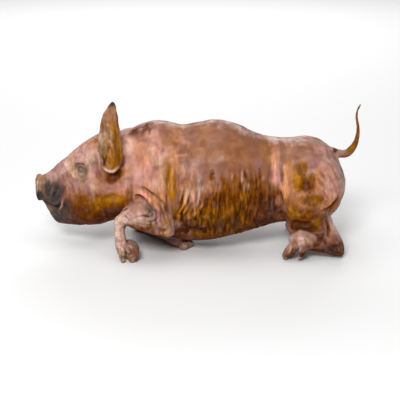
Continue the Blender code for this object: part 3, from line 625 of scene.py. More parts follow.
# %% Browned fat on trunk and head
TRUNK_PATCHES |= {
    "brown": (
        ("jowl", -182, 96, 56, 34, 12, 1.2), ("jowl front top", -208, 112, 26, 14, 0, 1),
        ("behind lip", -234, 92, 22, 30, 10, 0.9), ("below ear", -150, 165, 21, 12, 38, 1.3),
        ("nose", -300, 112, 6, 6, 0, 0.4), ("muzzle edge", -246, 123, 10, 16, 0, 0.55),
        ("shoulder stripe", -43, 142, 12, 50, 10, 0.35), ("behind elbow", -28, 90, 20, 34, -12, 0.6),
        ("belly", 66, 80, 74, 88, 0, 1.5), ("belly back", 112, 160, 22, 14, 0, 1),
        ("belly front", 28, 90, 34, 38, 20, 1.3), ("groin", 122, 112, 13, 50, 0, 1.2),
        ("ham patch 1", 194, 176, 13, 13, 0, 1.2), ("ham patch 2", 200, 153, 18, 13, -12, 1.5),
        ("ham patch 2 right", 212, 164, 8, 12, 0, 0.9), ("ham patch 3", 216, 125, 22, 10, -6, 1.4),
        ("ham front", 184, 106, 18, 20, 0, 0.6), ("ham low", 200, 84, 34, 26, 0, 1.3),
        ("seat", 254, 107, 16, 7, 42, 1.1), ("throat", -124, 124, 6, 16, 0, 0.5),
        ("before wrist", -136, 107, 22, 8, 35, 1.2), ("tail", 296, 206, 14, 18, 0, 0.9),
        ("tail end", 302, 262, 12, 50, 0, 1),
    ),
    "honey": (
        ("stripe edge", -62, 166, 10, 50, 10, 0.9), ("fan", -18, 124, 18, 40, -14, 1),
        ("below fan", 12, 98, 22, 16, 30, 0.6), ("arm arc", -76, 136, 24, 12, -30, 0.8),
        ("arm front", -112, 134, 8, 20, 0, 0.6), ("belly top", 34, 142, 26, 14, 10, 0.8),
        ("belly top 2", 76, 158, 30, 12, 0, 0.6), ("flank fold 1 top", 146, 196, 10, 14, 0, 0.6),
        ("flank fold 2", 167, 146, 8, 50, -3, 1), ("ham edge", 177, 150, 8, 50, 0, 0.9),
        ("ham right", 226, 152, 12, 30, 0, 0.7), ("ham", 196, 146, 22, 40, 0, 0.6),
        ("seat", 240, 112, 22, 18, 35, 0.8), ("jowl top", -156, 126, 50, 12, 14, 0.8),
        ("beside ear", -140, 170, 24, 14, 40, 0.8), ("throat", -128, 128, 10, 20, 0, 0.6),
        ("jowl front", -216, 110, 16, 26, 0, 0.6), ("shoulder", -94, 204, 20, 20, 0, 0.6),
        ("saddle top", -46, 228, 16, 14, 0, 0.6), ("saddle", -40, 194, 14, 24, 0, 0.8),
    ),
    "gold": (
        ("jowl", -168, 110, 38, 13, 14, 0.8), ("jowl spot", -180, 110, 16, 10, 0, 0.8),
        ("shoulder stripe", -46, 154, 10, 48, 10, 0.95), ("behind elbow", -33, 100, 14, 36, -12, 0.9),
        ("belly", 34, 80, 58, 30, 6, 0.9), ("belly lump", 0, 50, 18, 12, 0, 0.7),
        ("belly front", 2, 98, 12, 14, 0, 0.7), ("belly spot", 94, 127, 10, 13, 0, 0.7),
        ("belly low", 74, 72, 20, 14, 0, 1.1), ("belly streaks", 92, 150, 9, 14, 0, 0.6),
        ("ham patch 1", 193, 180, 10, 9, 0, 0.6), ("ham patch 2", 192, 158, 16, 12, -20, 0.8),
        ("ham spot", 215.5, 170, 4.5, 6, 0, 0.7), ("ham patch 3", 214, 125, 22, 10, -6, 0.8),
        ("skirt", 178, 98, 14, 20, 0, 0.8), ("ham low", 222, 82, 14, 10, 0, 0.6),
        ("tail", 291, 202, 10, 12, 0, 0.8), ("jowl back", -144, 118, 22, 9, 8, 0.9),
    ),
    "amber": (
        ("jowl back", -150, 117, 18, 7, 6, 0.9), ("stripe", -43, 160, 7, 34, 8, 0.5),
        ("ham left", 186, 158, 7, 20, 0, 0.7), ("fan", -24, 112, 8, 24, -14, 0.5),
    ),
    "olive": (
        ("nose disc", -300, 130, 13, 26, 0, 1.3), ("eye ring", -212, 168, 15, 18, 0, 0.6),
        ("temple", -196, 186, 12, 10, 0, 0.5), ("muzzle edge", -246, 146, 8, 16, -20, 0.5),
        ("belly right", 130, 92, 30, 16, 5, 0.6), ("tail base", 282, 194, 16, 12, 0, 0.8),
    ),
}
print(sum(len(rows) for rows in TRUNK_PATCHES.values()), "patches with those of browned fat")

# %% [markdown]
# Dark crust lies low on the belly and jaw, and char covers the muzzle, which meets the heat first. The dark
# tone and some char are also painted shade: below the ear, under the belly, ham and tail, in the armpit and
# groin, at the hock and heel and under the feet. The light patches are painted highlights on pale skin.

# %% Crust, char, painted shade and painted highlights on trunk and head
TRUNK_PATCHES |= {
    # painted shade: below ear, belly underside, under ham, armpit, hock, before heel, under foot and under tail
    "dark": (
        ("below ear", -150, 165, 18, 10, 38, 0.8), ("jowl front", -216, 86, 22, 28, -10, 0.75),
        ("belly top", 40, 132, 20, 14, 20, 0.6), ("belly edge", 119, 104, 21, 28, 10, 1.05),
        ("groin", 131, 100, 16, 22, 0, 1), ("belly low", 76, 78, 64, 24, 8, 0.64),
        ("belly top back", 92, 146, 14, 11, 0, 0.5), ("belly streak", 115, 146, 7, 14, 0, 0.8),
        ("belly middle", 116, 98, 11, 12, 0, 0.8), ("belly underside", 70, 26, 110, 16, 10, 0.8),
        ("belly low front", 6, 70, 28, 10, 0, 1), ("jaw", -164, 72, 70, 18, 10, 1),
        ("under ham", 194, 72, 26, 12, 0, 1), ("ham band", 206, 92, 34, 6, -3, 0.6),
        ("ham patch 1 middle", 190, 176, 9, 9, 0, 0.45), ("ham patch 2 middle", 203, 152, 12, 12, -15, 0.75),
        ("ham patch 3 middle", 208, 124, 11, 7, 0, 0.55), ("armpit", -22, 66, 26, 18, 0, 1),
        ("hock", 262, 20, 22, 20, 0, 1), ("before heel", 234, 52, 10, 12, 0, 0.9),
        ("under foot", 225, 18, 36, 14, 0, 1), ("under tail", 262, 194, 5, 4, 0, 0.9),
        ("left scar 1", -116, 235, 12, 4.5, 25, 0.8), ("left scar 2", -90, 243, 14, 4, 8, 0.7),
    ),
    # painted shade in the char: groin shade and hock
    "char": (
        ("muzzle", -264, 117, 18, 21, -10, 1), ("muzzle middle", -276, 112, 12, 14, 0, 1),
        ("muzzle front", -279, 118, 11, 18, 0, 0.95), ("mouth", -274, 98, 27, 14, 0, 1),
        ("chin", -262, 72, 30, 26, 40, 0.9), ("behind mouth", -246, 90, 13, 24, 0, 0.75),
        ("nose bottom", -296, 104, 16, 11, 0, 1), ("nose notch", -290, 124, 5, 8, 20, 0.6),
        ("nose rim", -304, 126, 2.8, 22, 0, 0.7), ("eye front", -220, 175, 6, 7.5, 0, 0.6),
        ("eye back", -204, 169, 4.5, 8.5, 0, 0.6), ("groin shade", 134, 112, 12, 12, 0, 0.35),
        ("hock", 256, 18, 24, 18, 0, 0.45), ("left dimple", 32, 175, 3.5, 3.5, 0, 0.7),
        ("left slit", 92, 173, 2.2, 5, 0, 0.4), ("left scar 1", -116, 235, 12, 4.5, 25, 0.3),
        ("left scar 2", -90, 243, 14, 4, 8, 0.3),
    ),
    # painted highlights on pale skin
    "light": (
        ("nose", -298, 128, 7, 12, 0, 0.55), ("brow", -242, 170, 6, 13, -20, 0.45),
        ("below eye", -228, 156, 4.5, 6, 0, 0.6), ("cheek rear", -193, 150, 10, 26, 0, 0.45),
        ("temple", -196, 196, 10, 12, 0, 0.25), ("neck", -103, 170, 14, 26, 0, 0.25),
        ("collar", -130, 150, 18, 10, 12, 0.35), ("shoulder", -66, 178, 14, 36, 0, 0.38),
        ("ham", 240, 156, 10, 16, 0, 0.25), ("fan", -12, 138, 14, 22, 0, 0.4),
        ("neck high", -126, 212, 12, 24, 0, 0.4),
    ),
}
print(sum(len(rows) for rows in TRUNK_PATCHES.values()), "patches on trunk and head")

# %% [markdown]
# The legs have little fat under their skin, so they stay pale and ashen, with painted highlights on wrist, cannon,
# knuckles and tendon, and painted shade at the hock, before the heel, at the soles and under the hind feet. The ear
# is so thin that it turns golden all through, with a burnt tip and rims, and painted highlights on its spots.

# %% Patches on limbs and ear
LIMB_PATCHES = {
    "pale": (("whole", 0, 50, 1000, 1000, 0, 1),),
    # painted highlights on the pale legs
    "light": (
        ("wrist", -136, 92, 10, 14, 0, 0.45), ("cannon", -142, 62, 11, 40, 5, 0.8),
        ("hind knuckles", 188, 46, 14, 10, 0, 0.55), ("tendon", 266, 62, 5, 28, 24, 0.45),
    ),
    "brown": (
        ("under forearm", -104, 74, 34, 10, 8, 1), ("fist", -108, 18, 10, 18, 0, 0.3),
        ("fist bottom", -130, 4, 24, 8, 0, 0.7), ("elbow pit", -58, 92, 6, 16, 0, 0.4),
        ("hind foot", 230, 36, 16, 10, 0, 0.6), ("hind toes", 178, 18, 14, 12, 0, 0.6),
        ("between toes", 186, 22, 14, 12, 0, 0.8), ("tendon front", 247, 60, 6, 24, 15, 1),
    ),
    "gold": (("hind foot", 214, 46, 12, 6, 0, 0.25),),
    "honey": (
        ("elbow", -56, 70, 18, 12, 15, 0.8), ("elbow 2", -58, 88, 8, 16, 0, 0.5),
        ("upper edge", -70, 118, 24, 8, -40, 0.8), ("swirl", -104, 124, 10, 8, 0, 0.8),
        ("hind foot", 212, 44, 14, 8, 0, 0.4), ("inside wrist", -122, 80, 12, 10, 0, 0.4),
    ),
    "ashen": (
        ("wrist", -132, 96, 14, 16, 0, 0.8), ("forearm", -112, 94, 18, 12, 0, 0.7),
        ("cannon", -145, 62, 12, 40, 5, 1), ("tendon", 264, 62, 8, 30, 24, 0.9),
        ("tendon top", 252, 92, 12, 14, 0, 1), ("fist", -118, 24, 14, 18, 0, 0.6),
        ("forearm middle", -94, 88, 26, 12, 0, 0.5), ("elbow", -64, 62, 16, 10, 0, 0.8),
        ("hind foot", 198, 42, 26, 12, 0, 0.8),
    ),
    "olive": (
        ("forearm below", -104, 76, 32, 11, 8, 1.1), ("fist", -122, 20, 20, 22, 0, 0.8),
        ("dewclaw", -136, 20, 6, 16, 0, 0.9), ("hind toes", 184, 20, 20, 12, 0, 0.6),
        ("left arm", -84, 114, 18, 10, 15, 0.6), ("elbow tip", -46, 72, 8, 16, 0, 0.6),
    ),
    "mauve": (
        ("forearm", -88, 110, 30, 18, 10, 0.9), ("forearm folds", -70, 98, 10, 18, 0, 0.9),
        ("fist", -120, 14, 16, 14, 0, 0.8), ("tendon", 262, 70, 8, 14, 20, 0.6),
    ),
    # painted shade at the hock, before the heel, under the hind foot and at the sole
    "dark": (
        ("hock", 262, 20, 24, 24, 0, 1), ("before heel", 234, 52, 10, 12, 0, 0.9),
        ("under hind foot", 222, 25, 30, 13, 0, 1), ("sole", -134, 2, 20, 6, 0, 1),
        ("fist back", -108, 20, 8, 16, 0, 0.45), ("hind toe tips", 176, 6, 14, 10, 0, 0.7),
    ),
    # the hock's char is painted shade
    "char": (
        ("left arm", -83, 112, 11, 6, 12, 0.8), ("hock", 256, 18, 24, 18, 0, 0.45),
    ),
}
EAR_PATCHES = {
    "olive": (("blade", -158, 222, 26, 64, 0, 1),),
    "honey": (
        ("upper", -151, 262, 12, 28, 0, 0.8), ("front", -171, 232, 7, 28, 0, 1),
        ("middle", -150, 226, 8, 30, 0, 0.5),
    ),
    "gold": (
        ("blade", -150, 218, 18, 56, 0, 0.85), ("tip right", -156, 268, 6, 14, 0, 0.5),
    ),
    "amber": (
        ("upper", -152, 260, 8, 16, 0, 0.6), ("middle", -155, 222, 6, 26, 0, 0.6), ("spot", -157, 211, 4, 10, 0, 1),
    ),
    "pink": (
        ("tip left", -163, 278, 9, 22, 0, 0.8), ("front rim", -177, 216, 5, 40, 0, 0.9),
    ),
    # painted highlights on the ear
    "light": (
        ("middle", -158, 236, 9, 30, 5, 0.45), ("spot 1", -162.6, 245.6, 3.4, 4.4, 0, 1),
        ("spot 2", -157, 229, 3.4, 4.4, 0, 0.9), ("spot 4", -160, 264, 3, 5, 0, 0.6),
        ("front rim", -177, 200, 3, 20, 0, 0.5), ("front", -172, 236, 3.5, 22, 5, 0.6),
    ),
    "brown": (
        ("rear edge", -141, 214, 6, 36, 0, 0.9), ("rear edge high", -141.5, 262, 3.4, 30, 0, 0.8),
        ("upper left", -169, 264, 4, 14, 20, 0.9), ("bottom", -154.5, 196, 9, 12, 0, 0.7),
    ),
    "dark": (
        ("slot", -166.5, 193.5, 3.2, 10, -15, 1), ("rear edge", -140, 200, 3.5, 22, 0, 0.5),
    ),
    "char": (("tip", -150, 308, 9, 9, 0, 1),),
}
print(sum(len(rows) for rows in (*LIMB_PATCHES.values(), *EAR_PATCHES.values())), "patches on limbs and ear")

# %% [markdown]
# A line is painted in the same way, along a rounded path. Light lines are painted highlights on the backs of
# folds, lips, rims and streaks, honey lines are pale backs of folds, dark ones are painted shade in gaps and
# creases with a dark rim on the nose, and the muzzle's lines are painted glints on its char. In the matt patches no
# fat lies on the skin.

# %% Lines of each tone
# name, strength, half width, points (X, Z)
# painted highlights on the backs of folds, lips, rims, streaks and toes
HIGHLIGHT_LINES = (
    ("lip corner", 0.7, 2.4, (-250, 110), (-254, 95), (-260, 80)),
    ("apron edge", 0.25, 2.2, (-10, 88), (2, 104), (12, 120)), ("fan back 2", 0.45, 2, (-19, 116), (-17, 146)),
    ("fan back 3", 0.5, 1.8, (-5, 124), (-3, 148)), ("streak 4", 0.4, 1.6, (66, 158), (67, 176)),
    ("streak 5", 0.5, 1.8, (84, 154), (85, 182)), ("streak 7", 0.4, 2.2, (89, 140), (90, 162)),
    ("streak 8", 0.4, 2.2, (97, 140), (98, 160)), ("apron", 0.4, 4, (-4, 106), (4, 124), (6, 146)),
    ("fold crest 1", 0.35, 4, (146, 190), (147, 168), (146, 150)),
    ("fold crest 2", 0.25, 4, (165, 190), (164, 160), (165, 134)),
    ("cheek streak 1", 0.35, 3.4, (-190, 164), (-187, 146), (-183, 126)),
    ("cheek streak 2", 0.25, 3, (-199, 150), (-203, 138), (-204, 126)),
    ("cheek streak 3", 0.3, 2.8, (-245, 144), (-241, 130), (-240, 116)),
    ("forehead streak 1", 0.4, 3.6, (-236.5, 190), (-240, 178), (-243, 164)),
    ("forehead streak 2", 0.35, 3.4, (-221, 198), (-227, 188), (-229, 176)),
    ("left ear lip", 0.6, 2.8, (-170, 184.5), (-163, 178.5), (-155, 177), (-147, 179.5), (-141, 186.5)),
    ("hind toe 1", 0.6, 2.6, (182, 40), (176, 26), (171, 16)),
    ("hind toe 2", 0.6, 2.4, (198, 38), (195, 26), (190, 16)),
    ("seat crest", 0.4, 2.2, (243, 118), (254, 128), (262, 140)),
)
# painted glints on the charred muzzle
MUZZLE_GLINT_LINES = (
    ("glint 1", 0.6, 1.8, (-268, 132), (-272, 119), (-276, 106)), ("glint 2", 0.5, 1.4, (-279, 127), (-281, 112)),
    ("glint 3", 0.45, 1.4, (-259, 126), (-262, 114)), ("lip spot", 0.7, 2.2, (-273, 98), (-267, 93)),
    ("lip corner", 0.85, 2, (-250, 104), (-254, 92), (-261, 80)), ("chin", 0.55, 1.8, (-263, 78), (-256, 70)),
)
HONEY_LINES = (
    ("apron edge", 1, 3.4, (-19, 80), (-6, 94), (6, 108), (14, 122)),
    ("fan back 1", 1, 2.6, (-37, 82), (-29, 103), (-20, 124), (-14, 148)),
    ("fan back 2", 1, 3.2, (-22, 94), (-19, 116), (-17, 150)),
    ("fan back 3", 0.9, 2.6, (-6, 118), (-4, 134), (-3, 152)),
    ("fan back 4", 1, 2.4, (-29, 128), (-24, 142), (-22, 162)),
    ("streak 1", 0.7, 3, (30, 124), (30, 146), (29, 162)), ("streak 2", 0.7, 2.8, (20, 122), (19, 140), (20, 156)),
    ("streak 3", 0.7, 2.8, (44, 128), (44, 150), (46, 162)), ("streak 6", 0.7, 2.8, (101, 140), (102, 164)),
    ("streak 8", 0.7, 3, (93, 136), (94, 160)), ("streak 7", 0.6, 2.6, (85, 132), (86, 156)),
    ("left arm arc", 0.9, 3.4, (-104, 148), (-90, 147), (-78, 140), (-66, 130)),
    ("left arm edge", 0.8, 3, (-62, 116), (-53, 98), (-48, 84), (-46, 70)),
)
# painted shade in gaps and creases, and a dark rim on the nose
DARK_LINES = (
    ("behind jowl", 0.9, 2.6, (-140, 100), (-130, 109), (-122, 114)),
    ("nose rim", 0.7, 2, (-303, 141), (-304.5, 129), (-304, 115)),
    ("under eye", 0.35, 3, (-219, 152), (-210, 150), (-203, 156)),
    ("cheek line 1", 0.3, 2.2, (-232, 148), (-229, 134), (-225, 116)),
    ("cheek line 2", 0.35, 2.6, (-210, 138), (-207, 126), (-208, 112)),
    ("mouth", 1, 1.8, (-296, 92), (-280, 90), (-264, 89), (-254, 96)),
    ("left fist gap", 0.9, 2, (-139, 36), (-133, 28), (-130, 18), (-131, 6)),
    ("left fist curl", 0.8, 1.6, (-126, 34), (-119, 28), (-117, 18), (-122, 11), (-127, 16)),
    ("left fist back", 0.6, 1.6, (-112, 32), (-110, 22), (-113, 12)),
    ("toe gap", 0.9, 2, (186, 38), (186, 24), (184, 10)), ("toe gap 2", 0.8, 1.8, (203, 36), (204, 24), (200, 14)),
    ("heel", 0.9, 4.5, (234, 56), (241, 42), (246, 28)),
    ("seat", 0.9, 2.2, (236, 99), (249, 106), (261, 118), (270, 131)),
    ("left arm pit", 0.45, 2, (-56, 112), (-49, 98), (-45, 83)),
    ("ham arc", 0.6, 2.2, (180, 84), (192, 94), (207, 96), (224, 88)),
    ("ham streak", 0.5, 2, (178, 118), (184, 106), (190, 110)),
    ("left forearm line 1", 0.55, 1.4, (-108, 101), (-96, 103), (-84, 101), (-76, 105)),
    ("left forearm line 2", 0.7, 1.6, (-77, 113), (-72, 104), (-73, 92), (-69, 85)),
    ("left forearm line 3", 0.6, 1.4, (-66, 110), (-63, 102), (-64, 92)),
)
# as for the patches: name, centre, radii, turn, strength
MATT_PATCHES = (
    ("behind saddle", 10, 210, 30, 16, 0, 0.6), ("jowl front", -226, 86, 26, 22, 0, 0.9),
)
print(len(HIGHLIGHT_LINES + MUZZLE_GLINT_LINES + HONEY_LINES + DARK_LINES), "lines")

# %% [markdown]
# Noise frays the edges of a patch. Where the skin hangs, it also draws them down in drips, as fat runs. A place
# takes the strongest of the patches, and of the lines too, so where two of them cross nothing builds up.

# %% Brushes for patches and lines
DRIP_LENGTH = 0.016
FRAY = 0.48


def draped(places):
    """Where the skin hangs in streaks: most on the flank, less on ham and back, not at all on head and feet."""
    px, _, pz = places.T
    hanging = smooth_step(px, -0.13, -0.09) * (1.0 - 0.8 * smooth_step(px, 0.16, 0.19)) * smooth_step(pz, 0.03, 0.06)
    return hanging * (1.0 - 0.6 * smooth_step(pz, 0.170, 0.215))


def painted(places, patches, fray=FRAY):
    """How strongly a tone covers each place, 0 to 1."""
    value = np.zeros(len(places))
    px, py, pz = places.T
    rough = (0.45 + 0.55 * draped(places)) * noise(places, 0.016, 21) + 0.45 * noise(places, 0.008, 22)
    rough = rough * (1.0 - 0.6 * smooth_step(px, -0.05, 0.00) * smooth_step(pz, 0.150, 0.190))
    drips = noise(places, (0.0060, 0.0200, 0.0600), 23) + 0.6 * noise(places, (0.0030, 0.0100, 0.0300), 24)
    pz = pz + DRIP_LENGTH * draped(places) * drips
    for name, *middle_and_radii, turn, strength in patches:
        cx, cz, rx, rz = metres(middle_and_radii)
        angle = math.radians(turn)
        dx, dz = px - cx, pz - cz
        u = (dx * math.cos(angle) + dz * math.sin(angle)) / rx
        v = (dz * math.cos(angle) - dx * math.sin(angle)) / rz
        inside = 1.0 - smooth_step(np.hypot(u, v) + fray * rough, 0.30, 1.60)
        if name.startswith("left "):
            inside = inside * smooth_step(-py, 0.0, 0.01)
        value = np.maximum(value, np.minimum(strength * inside, 1.0))
    return value


def drawn(lines):
    """How strongly lines cover each point of the skin, 0 to 1."""
    tree = BVHTree.FromObject(pig, bpy.context.evaluated_depsgraph_get())
    value = np.zeros(len(points))
    for name, strength, half_width, *line in lines:
        half_width = half_width / 1000.0
        for side in sides_of(name):
            path = thrown(line, side, tree)
            if len(path) < 2:
                continue
            reach = 3.0 * half_width
            low, high = np.min(path, axis=0) - reach, np.max(path, axis=0) + reach
            near = np.flatnonzero(((points > low) & (points < high)).all(axis=1))
            distance, along = along_path(points[near], path)
            share = distance / (half_width * (1.0 + 0.4 * noise(points[near], 0.009, 26)))
            taper = np.sin(math.pi * np.clip(along, 0.03, 0.97)) ** 0.5
            value[near] = np.maximum(value[near], strength * taper * np.exp(-(share**2)))
    return value


print("hanging streaks over", f"{100 * draped(points).mean():.0f} % of the skin")

# %% [markdown]
# Now each tone is painted, zone by zone, and becomes an attribute of the skin. The muzzle's lines thin its
# char and paint glints on it: painted highlights.

# %% Paint the tones
tones = {}
for zone, patches_of in (("trunk", TRUNK_PATCHES), ("limbs", LIMB_PATCHES), ("ear", EAR_PATCHES)):
    for name, patches in patches_of.items():
        tones[name] = np.maximum(tones.get(name, 0.0), zones[zone] * painted(points, patches))
tones["pale"] = np.maximum(tones["pale"], zones["limbs"])
for name, lines in (("light", HIGHLIGHT_LINES), ("honey", HONEY_LINES), ("dark", DARK_LINES)):
    tones[name] = np.maximum(tones[name], drawn(lines))
# painted glints: the light tone over the char, which is thinned under them
glints = drawn(MUZZLE_GLINT_LINES)
tones["light"] = np.maximum(tones["light"], 0.65 * glints)
tones["char"] *= 1.0 - 0.6 * glints
print("share of the skin:", {name: round(float(value.mean()), 3) for name, value in tones.items()})

# %% [markdown]
# A few more attributes say how a place behaves. Skin that faces down gets painted shade in the dark tone, a
# little less under the belly and at the seat. "drape" is how far the pattern hangs in streaks. "basted" is how
# much fat lies on it: none on crust. "calm" is the smooth back and shoulder, where nothing but soft clouds shows,
# and "varied" is the rest of the bare skin, which gets stronger tints.

# %% Shade, drape, fat and calm
on_head = (1.0 - smooth_step(x, -0.14, -0.10)) * (1.0 - limb)
tones["drape"] = np.maximum(draped(points), 0.5 * on_head)
facing_down = smooth_step(-read(pig, "normal")[:, 2], 0.05, 0.65)
under_belly = smooth_step(x, -0.045, -0.015) * (1.0 - smooth_step(x, 0.10, 0.15))
seat_end = smooth_step(x, 0.21, 0.24)
# painted shade on skin that faces down, on trunk and limbs, less under the belly and at the seat
shade = (0.9 - 0.4 * under_belly - 0.5 * seat_end) * facing_down * smooth_step(x, -0.275, -0.235)
tones["dark"] = np.max([tones["dark"], shade * zones["trunk"], 0.6 * facing_down * zones["limbs"]], axis=0)
crusted = np.max([tones[name] for name in ("brown", "gold", "dark")], axis=0)
tones["basted"] = (1.0 - 0.9 * facing_down) * (1.0 - 0.95 * crusted) * (1.0 - painted(points, MATT_PATCHES, 0.2))
back = smooth_step(x, -0.03, 0.01) * smooth_step(z, 0.140, 0.172) * (1.0 - 0.5 * smooth_step(x, 0.15, 0.18))
shoulder = smooth_step(x, -0.140, -0.115) * (1.0 - smooth_step(x, -0.055, -0.035)) * smooth_step(z, 0.135, 0.155)
back = np.maximum(back, 0.5 * shoulder)
tones["calm"] = back * (1.0 - 0.8 * crusted)
tones["varied"] = (1.0 - 0.8 * crusted) * (1.0 - 0.75 * back)
crease_shade = crease_shade * (1.0 - 0.35 * zones["limbs"]) * (1.0 - 0.4 * smooth_step(-x, 0.13, 0.16))
pig.data.attributes["valley"].data.foreach_set("value", crease_shade.astype(np.float32))
for name, value in tones.items():
    layer = pig.data.attributes.new(name, "FLOAT", "POINT")
    layer.data.foreach_set("value", np.clip(value, 0.0, 1.0).astype(np.float32))
print(len(tones) + 1, "attributes on the skin")

# %% [markdown]
# A material is a tree of nodes. Each helper below makes one node, sets it and links it to what comes before, so
# that a material further down reads as a list of steps.

# %% Helpers that make nodes and values
def new_node(tree, kind, **settings):
    node = tree.nodes.new(kind)
    for key, value in settings.items():
        setattr(node, key, value)
    return node


def math_node(tree, operation, a, b=None, clamp=False):
    node = new_node(tree, "ShaderNodeMath", operation=operation, use_clamp=clamp)
    for socket, value in zip(node.inputs, (a, b)):
        if value is None:
            continue
        if isinstance(value, (int, float)):
            socket.default_value = value
        else:
            tree.links.new(value, socket)
    return node.outputs[0]


def noise_node(tree, vector, scale, detail, roughness, distortion=0.0):
    node = new_node(tree, "ShaderNodeTexNoise")
    node.inputs["Scale"].default_value = scale
    node.inputs["Detail"].default_value = detail
    node.inputs["Roughness"].default_value = roughness
    node.inputs["Distortion"].default_value = distortion
    tree.links.new(vector, node.inputs["Vector"])
    return node.outputs["Fac"]


def widened(tree, value, low=0.34, high=0.66):
    """A noise hardly leaves its middle: this spreads it out over 0 to 1."""
    node = new_node(tree, "ShaderNodeMapRange")
    node.inputs["From Min"].default_value = low
    node.inputs["From Max"].default_value = high
    tree.links.new(value, node.inputs["Value"])
    return node.outputs["Result"]


print("helpers for values are ready")

# %% [markdown]
# The other helpers mix two colours or two values by a factor, stretch the space that a pattern is made in, read
# an attribute, and turn a height into a bump that light breaks over. The last one makes an empty material.

# %% Helpers that mix, stretch and bump
def colour_mix(tree, factor, below, above, blend="MIX"):
    node = new_node(tree, "ShaderNodeMix", data_type="RGBA", blend_type=blend)
    tree.links.new(factor, node.inputs[0])
    for index, value in ((6, below), (7, above)):
        if isinstance(value, tuple):
            node.inputs[index].default_value = (*value, 1.0)
        else:
            tree.links.new(value, node.inputs[index])
    return node.outputs[2]


def value_mix(tree, factor, below, above):
    node = new_node(tree, "ShaderNodeMix", data_type="FLOAT")
    for index, value in ((0, factor), (2, below), (3, above)):
        if isinstance(value, float):
            node.inputs[index].default_value = value
        else:
            tree.links.new(value, node.inputs[index])
    return node.outputs[0]


def stretched(tree, vector, scale, shift=(0.0, 0.0, 0.0)):
    node = new_node(tree, "ShaderNodeMapping")
    node.inputs["Scale"].default_value = scale
    node.inputs["Location"].default_value = shift
    tree.links.new(vector, node.inputs["Vector"])
    return node.outputs["Vector"]


def attribute(tree, name):
    return new_node(tree, "ShaderNodeAttribute", attribute_name=name).outputs["Fac"]


def bumped(tree, shader, height, strength, distance):
    """Feeds a height to the shader's normal, so that light breaks over it."""
    bump = new_node(tree, "ShaderNodeBump")
    bump.inputs["Strength"].default_value = strength
    bump.inputs["Distance"].default_value = distance
    tree.links.new(height, bump.inputs["Height"])
    tree.links.new(bump.outputs["Normal"], shader.inputs["Normal"])


def new_material(name):
    material = bpy.data.materials.new(name)
    material.use_nodes = True
    return material, material.node_tree, material.node_tree.nodes["Principled BSDF"]


print("helpers for colours and surfaces are ready")

# %% [markdown]
# Two effects are node groups, so that every tone uses the same ones. "mottling" gives cloudy values at three
# sizes for uneven browning: clouds, flecks and specks. "frayed" turns a painted tone into a mask with a broken
# edge, by adding clouds to it before a rise: a roasted patch ends in flecks, not in a soft airbrush edge.

# %% Shared node groups
def new_group(name, inputs, outputs):
    group = bpy.data.node_groups.new(name, "ShaderNodeTree")
    for label, default in inputs:
        kind = "NodeSocketFloat" if isinstance(default, float) else "NodeSocketVector"
        socket = group.interface.new_socket(name=label, in_out="INPUT", socket_type=kind)
        if isinstance(default, float):
            socket.default_value = default
    for label in outputs:
        group.interface.new_socket(name=label, in_out="OUTPUT", socket_type="NodeSocketFloat")
    return group, new_node(group, "NodeGroupInput"), new_node(group, "NodeGroupOutput")


def frayed_tone(tree, tone, clouds, fray, softness):
    node = new_node(tree, "ShaderNodeGroup", node_tree=frayed)
    tree.links.new(tone, node.inputs["Tone"])
    tree.links.new(clouds, node.inputs["Clouds"])
    node.inputs["Fray"].default_value = fray
    node.inputs["Softness"].default_value = softness
    return node.outputs["Mask"]


mottling, group_in, group_out = new_group("mottling", [("Vector", None)], ["Clouds", "Flecks", "Specks"])
for label, scale, detail in (("Clouds", 48.0, 1.2), ("Flecks", 95.0, 2.5), ("Specks", 210.0, 3.0)):
    value = noise_node(mottling, group_in.outputs["Vector"], scale, detail, 0.5, 0.4)
    mottling.links.new(widened(mottling, value), group_out.inputs[label])

frayed, group_in, group_out = new_group(
    "frayed", [("Tone", 0.0), ("Clouds", 0.5), ("Fray", 0.3), ("Softness", 0.4)], ["Mask"]
)
spread = math_node(frayed, "SUBTRACT", group_in.outputs["Clouds"], 0.5)
spread = math_node(frayed, "MULTIPLY", spread, group_in.outputs["Fray"])
total = math_node(frayed, "ADD", group_in.outputs["Tone"], math_node(frayed, "MULTIPLY", spread, 2.0))
rise = new_node(frayed, "ShaderNodeMapRange", interpolation_type="SMOOTHSTEP")
frayed.links.new(total, rise.inputs["Value"])
frayed.links.new(math_node(frayed, "SUBTRACT", 0.5, group_in.outputs["Softness"]), rise.inputs["From Min"])
frayed.links.new(math_node(frayed, "ADD", 0.5, group_in.outputs["Softness"]), rise.inputs["From Max"])
frayed.links.new(rise.outputs["Result"], group_out.inputs["Mask"])
print("node groups:", [g.name for g in bpy.data.node_groups])

# %% [markdown]
# The skin's colour is laid in layers, as the oven lays it. Tan skin comes first; over it the tones of the table
# in their order, from orange and pink skin through ashen and honey to the brown, gold, amber and dark crust,
# which also carries painted shade, and the light tone of painted highlights last. Each tone runs between two colours
# by clouds, flecks or hanging streaks. Then come three faint tints, painted shade in the valleys, the char, and uneven
# brightness with painted highlights on ridges, which is calmer on the back.

